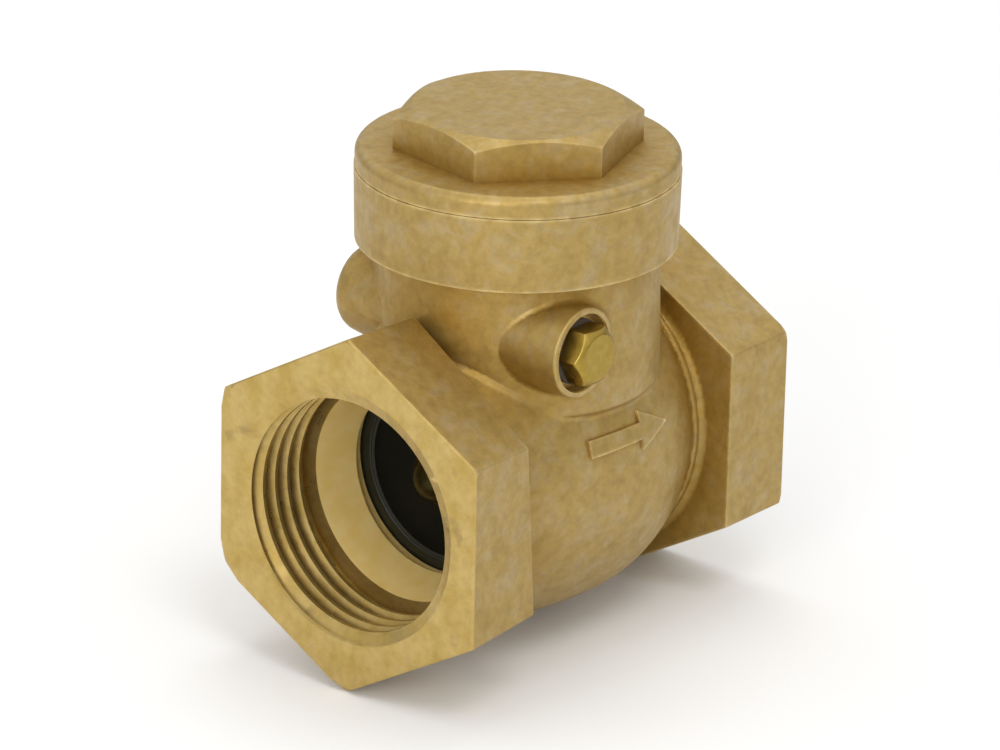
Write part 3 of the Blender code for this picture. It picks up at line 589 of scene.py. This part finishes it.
def thread_band(name, groove, radius, pitch, start, end, turn=(0, 0, 0), at=(0, 0, 0)):
    """A band that climbs round local Z at a radius. The groove's points are a place along Z and a depth."""
    steps = int(abs(end - start) / pitch * STEPS_A_TURN)
    shape = bmesh.new()
    rings = []
    for step in range(steps + 1):
        angle = 2 * math.pi * step / STEPS_A_TURN
        along = start + (end - start) * step / steps
        ring = []
        for side, depth in groove:
            r = (radius + depth) * MM
            ring.append(shape.verts.new((r * math.cos(angle), r * math.sin(angle), (along + side) * MM)))
        rings.append(ring)
    join_rings(shape, rings)
    shape.faces.new(rings[0])
    shape.faces.new(list(reversed(rings[-1])))
    bmesh.ops.recalc_face_normals(shape, faces=shape.faces)
    band = built(shape, name)
    band.rotation_euler = turn
    band.location = at
    return made_real(band)


tap_end = RELIEF_START + RUN_OUT
for name, x, turn in (("inlet_tap", 0, ALONG_PIPE), ("outlet_tap", FACE_TO_FACE, BACK_ALONG_PIPE)):
    band = thread_band(name, PIPE_GROOVE, MINOR_R, PIPE_PITCH, TAP_START, tap_end, turn, (x, 0, 0))
    worked(body, band, "DIFFERENCE")
collar_tap = thread_band(
    "collar_tap", COLLAR_GROOVE, COLLAR_BORE_R, CAP_PITCH, COLLAR_TAP_Z, COLLAR_TAP_END_Z, at=(NECK_X, 0, 0))
worked(body, collar_tap, "DIFFERENCE")
report(body)

# %% [markdown]
# The cap is forged too: a round flange with a spanner hexagon on top, whose corners are turned off by a
# shallow cone. That cone is what leaves the curved line on each flat. The flange's round rim is part of
# its section, and a small bevel blunts the hexagon. Then the underside is faced, and the hollow threaded
# skirt is added and cut.
# %% Make the cap
CAP_TURN = math.radians(18.7)
CAP_HEX_R = corner_radius(13.75)
CAP_CONE_R, CAP_CONE_DEGREES = 13.28, 25
CAP_TOP_Z = 45.46
FLANGE_R, FLANGE_EDGE = 20.4, 1.15
FLANGE_TOP_Z, FLANGE_UNDERSIDE_Z = 40.36, 37.66
SKIRT_R, SKIRT_END_Z, SKIRT_CHAMFER = 16.2, 31.26, 0.5
CAP_BORE_R, ROOF_Z, ROOF_EDGE = 12.8, 38.76, 1.0
CAP_GROOVE = [(-0.72, 0.2), (-0.12, -0.75), (0.12, -0.75), (0.72, 0.2)]
CAP_THREAD_Z, CAP_THREAD_END_Z = 30.6, 36.6


def hexagon_head(name, corner_r, low, high, cone_r, cone_degrees, turn, at, lean=(0, 0, 0)):
    """A spanner hexagon on local Z, with the corners of its top turned off by a cone."""
    shape = bmesh.new()
    bmesh.ops.create_cone(shape, cap_ends=True, segments=6, radius1=corner_r * MM, radius2=corner_r * MM,
                          depth=(high - low) * MM, matrix=Matrix.Translation((0, 0, (low + high) / 2 * MM))
                          @ Matrix.Rotation(turn + math.pi / 2, 4, "Z"))
    head = built(shape, name)
    head.rotation_euler = lean
    head.location = at
    made_real(head)
    surfaces(head, RAW)
    drop = (corner_r + 1 - cone_r) * math.tan(math.radians(cone_degrees))
    cone = [(0, high), (cone_r, high), (corner_r + 1, high - drop), (corner_r + 1, low - 1), (0, low - 1)]
    return worked(head, turned(name + "_cone", cone, 96, at, lean), "INTERSECT", RAW)


neck_line = (NECK_X, 0, 0)
flange_section = [(0, FLANGE_TOP_Z)]
flange_section += bow((FLANGE_R - FLANGE_EDGE, FLANGE_TOP_Z - FLANGE_EDGE), FLANGE_EDGE, 90, 0, 8)
flange_section += [(FLANGE_R, 37.2), (0, 37.2)]
cap = turned("cap_piece", flange_section, 160, neck_line)
surfaces(cap, RAW)
cap_head = hexagon_head(
    "cap_head", CAP_HEX_R, 39.4, CAP_TOP_Z, CAP_CONE_R, CAP_CONE_DEGREES, CAP_TURN, neck_line)
soften(cap_head, 0.22, 20)
worked(cap, cap_head, "UNION", RAW)
all_above = [(0, 50), (30, 50), (30, FLANGE_UNDERSIDE_Z), (0, FLANGE_UNDERSIDE_Z)]
worked(cap, turned("underside", all_above, 64, neck_line), "INTERSECT")
skirt = [(0, 38.2), (SKIRT_R, 38.2), (SKIRT_R, SKIRT_END_Z + SKIRT_CHAMFER)]
skirt += [(SKIRT_R - SKIRT_CHAMFER, SKIRT_END_Z), (0, SKIRT_END_Z)]
worked(cap, turned("skirt", skirt, 128, neck_line), "UNION")
roof = [(0, ROOF_Z)] + bow((CAP_BORE_R - ROOF_EDGE, ROOF_Z - ROOF_EDGE), ROOF_EDGE, 90, 0, 4)
roof += [(CAP_BORE_R, 30.5), (0, 30.5)]
worked(cap, turned("cap_hollow", roof, 128, neck_line), "DIFFERENCE")
cap_die = thread_band("cap_die", CAP_GROOVE, SKIRT_R, CAP_PITCH, CAP_THREAD_Z, CAP_THREAD_END_Z, at=neck_line)
worked(cap, cap_die, "DIFFERENCE")
report(cap)

# %% [markdown]
# The hinge pin goes in through the front boss, and a small brass plug with a hexagon head closes its
# hole. It is turned from hexagon bar: the corners of the head are turned off in front, and a shank goes
# into the hole.
# %% Make the plug
PLUG_HEX_R = corner_radius(3.5)
PLUG_CONE_R, PLUG_CONE_DEGREES = 2.95, 38
HEAD_BACK, HEAD_FRONT = 17.6, 20.9
SHANK_R, SHANK_END = 2.9, 15.5
plug = hexagon_head(
    "plug_piece", PLUG_HEX_R, HEAD_BACK, HEAD_FRONT, PLUG_CONE_R, PLUG_CONE_DEGREES, 0.0,
    hinge_line, TOWARDS_FRONT)
soften(plug, 0.14, 20)
shank = [(0, 18.3), (SHANK_R, 18.3), (SHANK_R, 15.8), (2.6, SHANK_END), (0, SHANK_END)]
worked(plug, turned("shank", shank, 48, hinge_line, TOWARDS_FRONT), "UNION")
report(plug)

# %% [markdown]
# The arm that carries the disc is a small casting. The solid already has its true form, but with sharp
# roots, so a copy of it is melted and filled like the body, at a finer grain.
# %% Cast the arm
VOXEL_ARM = 0.22 * MM
arm_copy = link(frame["nodes"]["hanger"].data.copy(), "arm_copy")
arm = melted_together("arm_piece", [arm_copy], VOXEL_ARM)
fill_roots(arm, 8, 0.5, 0.08)
surfaces(arm, RAW)
report(arm)

# %% [markdown]
# The disc is what the water sees through the inlet: a black rubber face with a raised sealing band at its
# rim, and the domed head of the screw that holds it. They are turned again here with finer steps and
# rounded edges, and so is the brass holder behind them, because they are seen from close by.
# %% Turn the rubber face, its screw and its holder
SEAT_PLACE = (SEAT_X, 0, 0)
RUBBER_R, RUBBER_BACK = 14.0, 3.1
BAND_R = 11.3
FACE_DEPTH = 0.7
SCREW_HOLE_R = 1.6
HEAD_R, HEAD_RISE = 3.4, 2.9
HEAD_TIP = -3.4
STEM_R, STEM_END = 2.5, 15.3
rubber_section = [(RUBBER_R, RUBBER_BACK), (RUBBER_R, 0.6)] + bow((13.7, 0.6), 0.3, 0, -90, 4)[1:]
rubber_section += bow((11.75, 0.55), 0.25, -90, -180, 4)
rubber_section += [(11.2, FACE_DEPTH), (SCREW_HOLE_R, FACE_DEPTH), (SCREW_HOLE_R, RUBBER_BACK)]
rubber = turned("rubber_face", rubber_section, 128, SEAT_PLACE, ALONG_SEAT)
dome_r = (HEAD_R**2 + HEAD_RISE**2) / (2 * HEAD_RISE)
dome_degrees = math.degrees(math.asin(HEAD_R / dome_r))
screw_section = [(0, 6.7), (1.3, 6.7), (1.3, -0.5)]
screw_section += bow((0, HEAD_TIP + dome_r), dome_r, -90 + dome_degrees, -90, 12)[:-1] + [(0, HEAD_TIP)]
screw = turned("dome_screw", screw_section, 64, SEAT_PLACE, ALONG_SEAT)
holder_section = [(0, STEM_END), (2.1, STEM_END), (STEM_R, 14.9), (STEM_R, 7.0)]
holder_section += bow((2.8, 7.1), 0.3, 180, 270, 3)[1:]
holder_section += bow((13.3, 5.3), 1.5, 90, 0, 6) + bow((14.6, 1.4), 0.2, 0, -90, 3)
holder_section += [(14.3, 1.2), (14.3, 3.4), (SCREW_HOLE_R, 3.4), (SCREW_HOLE_R, 7.0), (0, 7.0)]
holder = turned("holder_piece", holder_section, 128, SEAT_PLACE, ALONG_SEAT)
for piece in (rubber, screw, holder):
    report(piece)

# %% [markdown]
# Every surface here is brass, rubber, fibre or steel, and its look is mixed from noise in the piece's own
# coordinates, so it turns with the piece and needs no picture. Small helpers lay out the nodes: they add
# a node, join two, give a noise in a chosen size of grain, turn it into colours or greys, mix two
# colours, stack bumps, and find edges and deep corners.
# %% Helpers for the finishes
def add(finish, kind, **settings):
    """Adds a shader node. A setting that names one of its sockets is set there."""
    node = finish.node_tree.nodes.new("ShaderNode" + kind)
    for key, value in settings.items():
        socket = key.replace("_", " ").title()
        if socket in node.inputs:
            node.inputs[socket].default_value = value
        else:
            setattr(node, key, value)
    return node


def wire(finish, start, end):
    finish.node_tree.links.new(start, end)


def grain(finish, size_mm, detail=3.0, roughness=0.55, distortion=0.0, stretch=None):
    """A noise whose features are about size_mm across on the piece."""
    place = add(finish, "TexCoord").outputs["Object"]
    if stretch:
        mapping = add(finish, "Mapping", vector_type="POINT")
        mapping.inputs["Scale"].default_value = stretch
        wire(finish, place, mapping.inputs["Vector"])
        place = mapping.outputs["Vector"]
    noise = add(finish, "TexNoise", scale=1 / (size_mm * MM), detail=detail, roughness=roughness,
                distortion=distortion)
    wire(finish, place, noise.inputs["Vector"])
    return noise.outputs["Fac"]


def shades(finish, source, stops):
    """A ramp that turns a noise into colours or greys. The stops are a place and a colour or a grey."""
    ramp = add(finish, "ValToRGB")
    parts = ramp.color_ramp.elements
    while len(parts) < len(stops):
        parts.new(0.5)
    for part, (place, value) in zip(parts, stops):
        part.position = place
        part.color = (value, value, value, 1) if isinstance(value, float) else (*value, 1)
    wire(finish, source, ramp.inputs["Fac"])
    return ramp.outputs["Color"]


def mixed(finish, share, first, second, how="MIX"):
    """Two colours mixed by a share, each of them a socket or a plain colour."""
    mix = add(finish, "Mix", data_type="RGBA", blend_type=how)
    for place, value in ((0, share), (6, first), (7, second)):
        if isinstance(value, bpy.types.NodeSocket):
            wire(finish, value, mix.inputs[place])
        else:
            mix.inputs[place].default_value = value if place == 0 else (*value, 1)
    return mix.outputs[2]


def bumped(finish, layers):
    """Stacks bump layers: each is a height, a depth in millimetres and a strength."""
    normal = None
    for height, depth_mm, strength in layers:
        bump = add(finish, "Bump", strength=strength, distance=depth_mm * MM)
        wire(finish, height, bump.inputs["Height"])
        if normal:
            wire(finish, normal, bump.inputs["Normal"])
        normal = bump.outputs["Normal"]
    return normal


def worn_and_highlit_edges(finish, reach_mm):
    """White along convex edges and grey to black away from them, from short rays cast inside the metal."""
    inside = add(finish, "AmbientOcclusion", inside=True, samples=6, distance=reach_mm * MM)
    return shades(finish, inside.outputs["AO"], [(0.46, 1.0), (0.76, 0.0)])


def corner_shade_mask(finish, reach_mm, dark=0.15, clear=0.60):
    """White in deep corners and where nearby metal shelters a surface: the mask for painted shade."""
    outside = add(finish, "AmbientOcclusion", samples=6, distance=reach_mm * MM, only_local=True)
    return shades(finish, outside.outputs["AO"], [(dark, 1.0), (clear, 0.0)])


def shader_of(finish, metallic, colour=None, roughness=None, normal=None):
    finish.use_nodes = True
    shader = finish.node_tree.nodes["Principled BSDF"]
    shader.inputs["Metallic"].default_value = metallic
    for name, value in (("Base Color", colour), ("Roughness", roughness), ("Normal", normal)):
        if isinstance(value, bpy.types.NodeSocket):
            wire(finish, value, shader.inputs[name])
        elif value is not None:
            shader.inputs[name].default_value = value
    return shader


# %% [markdown]
# Forged brass that has been blasted is matt. It is mottled in small patches of gold and of a paler tan,
# with darker freckles between them, and a fine grain of tiny dents lies over broader, shallow ones. Its
# edges are painted bright in places, partly as rubbed wear and partly as painted highlight. What the neck
# and the bosses shelter gets painted shade with a warm painted reflection of the brass nearby, and deep
# corners get painted brown shade. Machined faces are smoother, with a few stains, and the bored ports are
# painted palest, as painted light inside the port. Short rays that feel for nearby metal find the edges
# and the corners where these marks are painted.
# %% The forged and the machined brass
GOLD = (0.420, 0.290, 0.090)
TAN = (0.435, 0.322, 0.148)
SHADE = (0.375, 0.256, 0.080)
# SHELTER_SHADE_TINT: painted shade and painted warm reflection of nearby brass, where other parts shelter a
# surface
SHELTER_SHADE_TINT = (0.90, 0.79, 0.46)
# CORNER_SHADE_BROWN: painted shade in deep corners
CORNER_SHADE_BROWN = (0.20, 0.125, 0.030)
# WORN_BRIGHT_AND_HIGHLIGHT: rubbed wear along edges together with a painted highlight there
WORN_BRIGHT_AND_HIGHLIGHT = (0.80, 0.62, 0.28)
CUT_GOLD = (0.475, 0.325, 0.086)
CUT_PALE = (0.55, 0.395, 0.140)
STAIN = (0.30, 0.21, 0.085)
# BORED_LIT_GOLD and BORED_LIT_PALE: painted light, about twice as bright as the machined brass, for light
# falling into the port
BORED_LIT_GOLD = (0.93, 0.69, 0.235)
BORED_LIT_PALE = (0.96, 0.75, 0.31)


def lay_forged_brass(finish):
    finish.use_nodes = True
    patches = shades(finish, grain(finish, 3.4, 5.0, 0.66, 0.5), [(0.30, SHADE), (0.48, GOLD), (0.64, TAN)])
    freckles = shades(finish, grain(finish, 1.3, 4.0, 0.65), [(0.34, 0.80), (0.60, 1.08)])
    colour = mixed(finish, 0.6, patches, freckles, "MULTIPLY")
    # painted shade and painted reflection of nearby brass, mixed in where 12 mm rays find the neck, bosses or
    # collar close by
    shade_and_reflection_tinted = mixed(finish, 1.0, colour, SHELTER_SHADE_TINT, "MULTIPLY")
    colour = mixed(finish, corner_shade_mask(finish, 12.0, 0.50, 0.97), colour, shade_and_reflection_tinted)
    # painted brown shade in deep corners
    colour = mixed(finish, corner_shade_mask(finish, 1.2), colour, CORNER_SHADE_BROWN)
    patchy = shades(finish, grain(finish, 2.0, 3.0), [(0.36, 0.20), (0.62, 0.95)])
    # convex edges painted bright, partly as rubbed wear and partly as painted highlight
    rubbed_and_highlit = mixed(finish, 1.0, worn_and_highlit_edges(finish, 0.7), patchy, "MULTIPLY")
    colour = mixed(finish, rubbed_and_highlit, colour, WORN_BRIGHT_AND_HIGHLIGHT)
    rough = shades(finish, grain(finish, 2.4, 3.0), [(0.30, 0.42), (0.70, 0.56)])
    normal = bumped(finish, [
        (grain(finish, 2.6, 3.0, 0.6), 0.09, 0.55),
        (grain(finish, 0.45, 3.0, 0.7), 0.030, 0.55),
    ])
    shader_of(finish, 0.70, colour, rough, normal)


def lay_machined_brass(finish):
    finish.use_nodes = True
    tint = shades(finish, grain(finish, 4.0, 3.0, 0.6), [(0.36, CUT_GOLD), (0.62, CUT_PALE)])
    smears = shades(finish, grain(finish, 1.2, 4.0, 0.6), [(0.36, 0.86), (0.60, 1.04)])
    colour = mixed(finish, 0.6, tint, smears, "MULTIPLY")
    stains = shades(finish, grain(finish, 5.0, 4.0, 0.6, 0.4), [(0.62, 0.0), (0.72, 0.6)])
    colour = mixed(finish, stains, colour, STAIN)
    # painted brown shade in deep corners
    colour = mixed(finish, corner_shade_mask(finish, 1.6, 0.25, 0.70), colour, CORNER_SHADE_BROWN)
    rough = shades(finish, grain(finish, 1.5, 3.0), [(0.30, 0.26), (0.70, 0.40)])
    normal = bumped(finish, [(grain(finish, 0.8, 3.0, 0.6), 0.02, 0.5)])
    shader_of(finish, 0.75, colour, rough, normal)


def lay_bored_lit_brass(finish):
    finish.use_nodes = True
    # painted light: a much paler colour than the machined brass lights the inside of the port
    tint = shades(finish, grain(finish, 3.0, 3.0, 0.6), [(0.36, BORED_LIT_GOLD), (0.62, BORED_LIT_PALE)])
    # painted brown shade in deep corners
    colour = mixed(finish, corner_shade_mask(finish, 1.6, 0.25, 0.70), tint, CORNER_SHADE_BROWN)
    rough = shades(finish, grain(finish, 1.5, 3.0), [(0.30, 0.44), (0.70, 0.56)])
    normal = bumped(finish, [(grain(finish, 0.8, 3.0, 0.6), 0.02, 0.5)])
    shader_of(finish, 0.35, colour, rough, normal)


lay_forged_brass(RAW_BRASS)
lay_machined_brass(CUT_BRASS)
lay_bored_lit_brass(BORED_LIT_BRASS)

# %% [markdown]
# The small pieces have plainer finishes: smooth brass for the plug and the arm, brass painted near
# black for the screw and its washer as painted shade, black rubber with a sealing band tinted greener as a
# painted reflection of brass, drawn steel for the pin, and pressed fibre.
# %% Finishes for the small pieces
def smooth_metal(name, low, high, rough_low, rough_high, dents):
    finish = bpy.data.materials.new(name)
    finish.use_nodes = True
    colour = shades(finish, grain(finish, 1.4, 4.0, 0.6), [(0.32, low), (0.68, high)])
    # painted shade: a darker copy of the low colour in deep corners
    colour = mixed(finish, corner_shade_mask(finish, 0.8), colour, tuple(0.35 * c for c in low))
    rough = shades(finish, grain(finish, 0.9, 3.0), [(0.3, rough_low), (0.7, rough_high)])
    normal = bumped(finish, [(grain(finish, 0.5, 3.0, 0.6), dents, 0.5)])
    shader_of(finish, 1.0, colour, rough, normal)
    return finish


def soft_stuff(name, low, high, rough_low, rough_high, size_mm, dents):
    finish = bpy.data.materials.new(name)
    finish.use_nodes = True
    colour = shades(finish, grain(finish, size_mm, 4.0, 0.6), [(0.32, low), (0.68, high)])
    rough = shades(finish, grain(finish, size_mm, 3.0), [(0.3, rough_low), (0.7, rough_high)])
    normal = bumped(finish, [(grain(finish, size_mm / 3, 3.0, 0.6), dents, 0.5)])
    shader_of(finish, 0.0, colour, rough, normal)
    return finish


plug_brass = smooth_metal("plug_brass", (0.33, 0.225, 0.038), (0.42, 0.295, 0.062), 0.30, 0.45, 0.03)
flap_brass = smooth_metal("flap_brass", (0.52, 0.38, 0.14), (0.66, 0.50, 0.22), 0.30, 0.46, 0.03)
# painted shade: the screw head and washer are brass made near black for the shade inside the port
screw_brass = smooth_metal("screw_brass", (0.024, 0.018, 0.006), (0.052, 0.040, 0.013), 0.34, 0.46, 0.02)
nut_brass = smooth_metal("nut_brass", (0.58, 0.43, 0.17), (0.70, 0.54, 0.24), 0.22, 0.34, 0.01)
pin_steel = smooth_metal("pin_steel", (0.48, 0.48, 0.49), (0.60, 0.60, 0.61), 0.22, 0.32, 0.01)
black_rubber = soft_stuff(
    "seal_rubber", (0.002, 0.0025, 0.002), (0.004, 0.0045, 0.0035), 0.45, 0.62, 1.5, 0.02)
black_rubber.node_tree.nodes["Principled BSDF"].inputs["Specular IOR Level"].default_value = 0.10
# painted reflection: the band's greener tint stands for brass reflected in its side
band_rubber_painted_reflection = soft_stuff("band_rubber_painted_reflection", (0.008, 0.009, 0.004), (0.013, 0.014, 0.006), 0.40, 0.55, 1.5, 0.02)
pressed_fibre = soft_stuff("gasket_fibre", (0.05, 0.04, 0.03), (0.12, 0.095, 0.07), 0.80, 0.95, 0.4, 0.04)

# %% [markdown]
# Each piece now gets its finish, the body that it moves with, and the solid that it stands for. Weighted
# normals keep its wide flat faces looking flat beside the small rounded edges. Solids whose form is right
# as it is keep their mesh and only get a finish.
# %% Hand out finishes and bodies
SHARP = math.radians(32)


def shade(piece):
    """Smooth shading that keeps sharp edges, and in which wide flat faces stay flat."""
    piece.data.shade_smooth()
    piece.data.set_sharp_from_angle(angle=SHARP)
    even = piece.modifiers.new("Flat faces stay flat", "WEIGHTED_NORMAL")
    even.keep_sharp = True
    made_real(piece)


def finished(piece, body_name, node, finish=None):
    """Puts a made piece on a moving body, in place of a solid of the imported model."""
    if finish:
        piece.data.materials.clear()
        piece.data.materials.append(finish)
        piece.data.polygons.foreach_set("material_index", [0] * len(piece.data.polygons))
    shade(piece)
    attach(piece, body_name)
    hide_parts(node)


finished(body, "body", "valve_body")
finished(cap, "body", "cap")
finished(plug, "body", "pin_plug", plug_brass)
finished(arm, "flap", "hanger", flap_brass)
finished(holder, "disc", "disc_holder", flap_brass)
finished(rubber, "disc", "seal_disc", black_rubber)
# the band's faces get the tint of painted reflection
rubber.data.materials.append(band_rubber_painted_reflection)
for face in rubber.data.polygons:
    place = face.center - Vector(SEAT_PLACE)
    if math.hypot(place.y, place.z) > BAND_R * MM:
        face.material_index = 1
finished(screw, "disc", "seal_screw", screw_brass)
KEPT = {
    "cap_gasket": pressed_fibre, "plug_seal": pressed_fibre, "hinge_pin": pin_steel,
    "seal_washer": screw_brass, "disc_nut": nut_brass, "nut_washer": nut_brass,
}
for node_name, finish in KEPT.items():
    node = frame["nodes"][node_name]
    node.data.materials.clear()
    node.data.materials.append(finish)
print("materials on the body:", [m.name for m in body.data.materials])

# %% [markdown]
# The camera stands where the photograph was taken from: to the left and above, about 0.8 metres away,
# with a long lens. Its place comes from matching the corners of the hexagons in the picture.
# %% Set up the camera
AZIMUTH, ELEVATION, ROLL = (math.radians(degrees) for degrees in (-51.61, 21.51, 1.31))
DISTANCE = 800 * MM
AIMED_AT = Vector((30.406, 0.285, 9.966)) * MM
FOCAL_LENGTH, SENSOR_WIDTH = 228.65, 36
camera = bpy.data.objects.new("camera", bpy.data.cameras.new("camera"))
camera.data.lens = FOCAL_LENGTH
camera.data.sensor_width = SENSOR_WIDTH
camera.data.sensor_fit = "HORIZONTAL"
camera.data.clip_start = 0.01
turned_to_it = Matrix.Rotation(AZIMUTH, 4, "Z") @ Matrix.Rotation(math.pi / 2 - ELEVATION, 4, "X")
turned_to_it = turned_to_it @ Matrix.Rotation(ROLL, 4, "Z")
camera.matrix_world = Matrix.Translation(AIMED_AT) @ turned_to_it @ Matrix.Translation((0, 0, DISTANCE))
bpy.context.scene.collection.objects.link(camera)
bpy.context.scene.camera = camera
print("camera %.2f m away, %.1f degrees above the horizon" % (DISTANCE, math.degrees(ELEVATION)))

# %% [markdown]
# The valve stands on the bottom corners of its hexagons, on a pale floor. Polished metal shows what is
# round it, so the room is bright overhead and dim near the floor, which gives upright faces a darker tone
# than level ones. Three wide lamps add the form: a window at the left, one overhead and one in front. To
# the camera itself the room is plain white, and the floor shines a very little where the camera or a
# reflection sees it.
# %% Light and floor
def lamp(name, place, target, size, power, tint):
    data = bpy.data.lights.new(name, "AREA")
    data.shape = "DISK"
    data.size = size
    data.energy = power
    data.color = tint
    light = bpy.data.objects.new(name, data)
    light.location = place
    aim = Vector(target) - Vector(place)
    light.rotation_euler = aim.to_track_quat("-Z", "Y").to_euler()
    bpy.context.scene.collection.objects.link(light)


def larger(finish, first, second):
    node = add(finish, "Math", operation="MAXIMUM")
    wire(finish, first, node.inputs[0])
    wire(finish, second, node.inputs[1])
    return node.outputs["Value"]


AIM = (0.03, 0, 0.01)
lamp("window", (-0.85, -0.30, 0.35), AIM, 0.50, 3.0, (1.0, 0.98, 0.95))
lamp("overhead", (0.22, 0.12, 0.90), AIM, 0.45, 1.1, (1.0, 0.98, 0.95))
lamp("front", (-0.28, -0.46, 0.82), AIM, 0.35, 1.5, (1.0, 1.0, 1.0))

world = bpy.data.worlds.new("white_room")
bpy.context.scene.world = world
world.use_nodes = True
room = world.node_tree.nodes["Background"]
room.inputs["Color"].default_value = (1, 1, 1, 1)
direction = add(world, "SeparateXYZ")
wire(world, add(world, "TexCoord").outputs["Generated"], direction.inputs["Vector"])
height = add(world, "MapRange", from_min=0.05, from_max=0.33, to_min=0.10, to_max=0.95)
wire(world, direction.outputs["Z"], height.inputs["Value"])
camera_ray = add(world, "LightPath").outputs["Is Camera Ray"]
wire(world, larger(world, height.outputs["Result"], camera_ray), room.inputs["Strength"])

FLOOR_LIFT = 0.02
FLOOR_HALF_WIDTH = 3.0
FLOOR_GAP = 0.02 * MM
floor_finish = bpy.data.materials.new("pale_floor")
floor_finish.use_nodes = True
sheet = floor_finish.node_tree.nodes["Principled BSDF"]
sheet.inputs["Base Color"].default_value = (0.86, 0.86, 0.86, 1)
sheet.inputs["Roughness"].default_value = 0.9
sheet.inputs["Specular IOR Level"].default_value = 0.0
sheet.inputs["Emission Color"].default_value = (1, 1, 1, 1)
seen_by = add(floor_finish, "LightPath").outputs
seen = larger(floor_finish, seen_by["Is Camera Ray"], seen_by["Is Glossy Ray"])
seen = larger(floor_finish, seen, seen_by["Is Transmission Ray"])
lift = add(floor_finish, "Math", operation="MULTIPLY")
lift.inputs[1].default_value = FLOOR_LIFT
wire(floor_finish, seen, lift.inputs[0])
wire(floor_finish, lift.outputs["Value"], sheet.inputs["Emission Strength"])

ground = bmesh.new()
bmesh.ops.create_grid(ground, x_segments=1, y_segments=1, size=FLOOR_HALF_WIDTH)
floor = built(ground, "floor")
floor.location.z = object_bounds()[0].z - FLOOR_GAP
floor.data.materials.append(floor_finish)
bpy.context.scene.view_settings.view_transform = "Standard"
print("floor at %.2f mm" % (floor.location.z / MM))
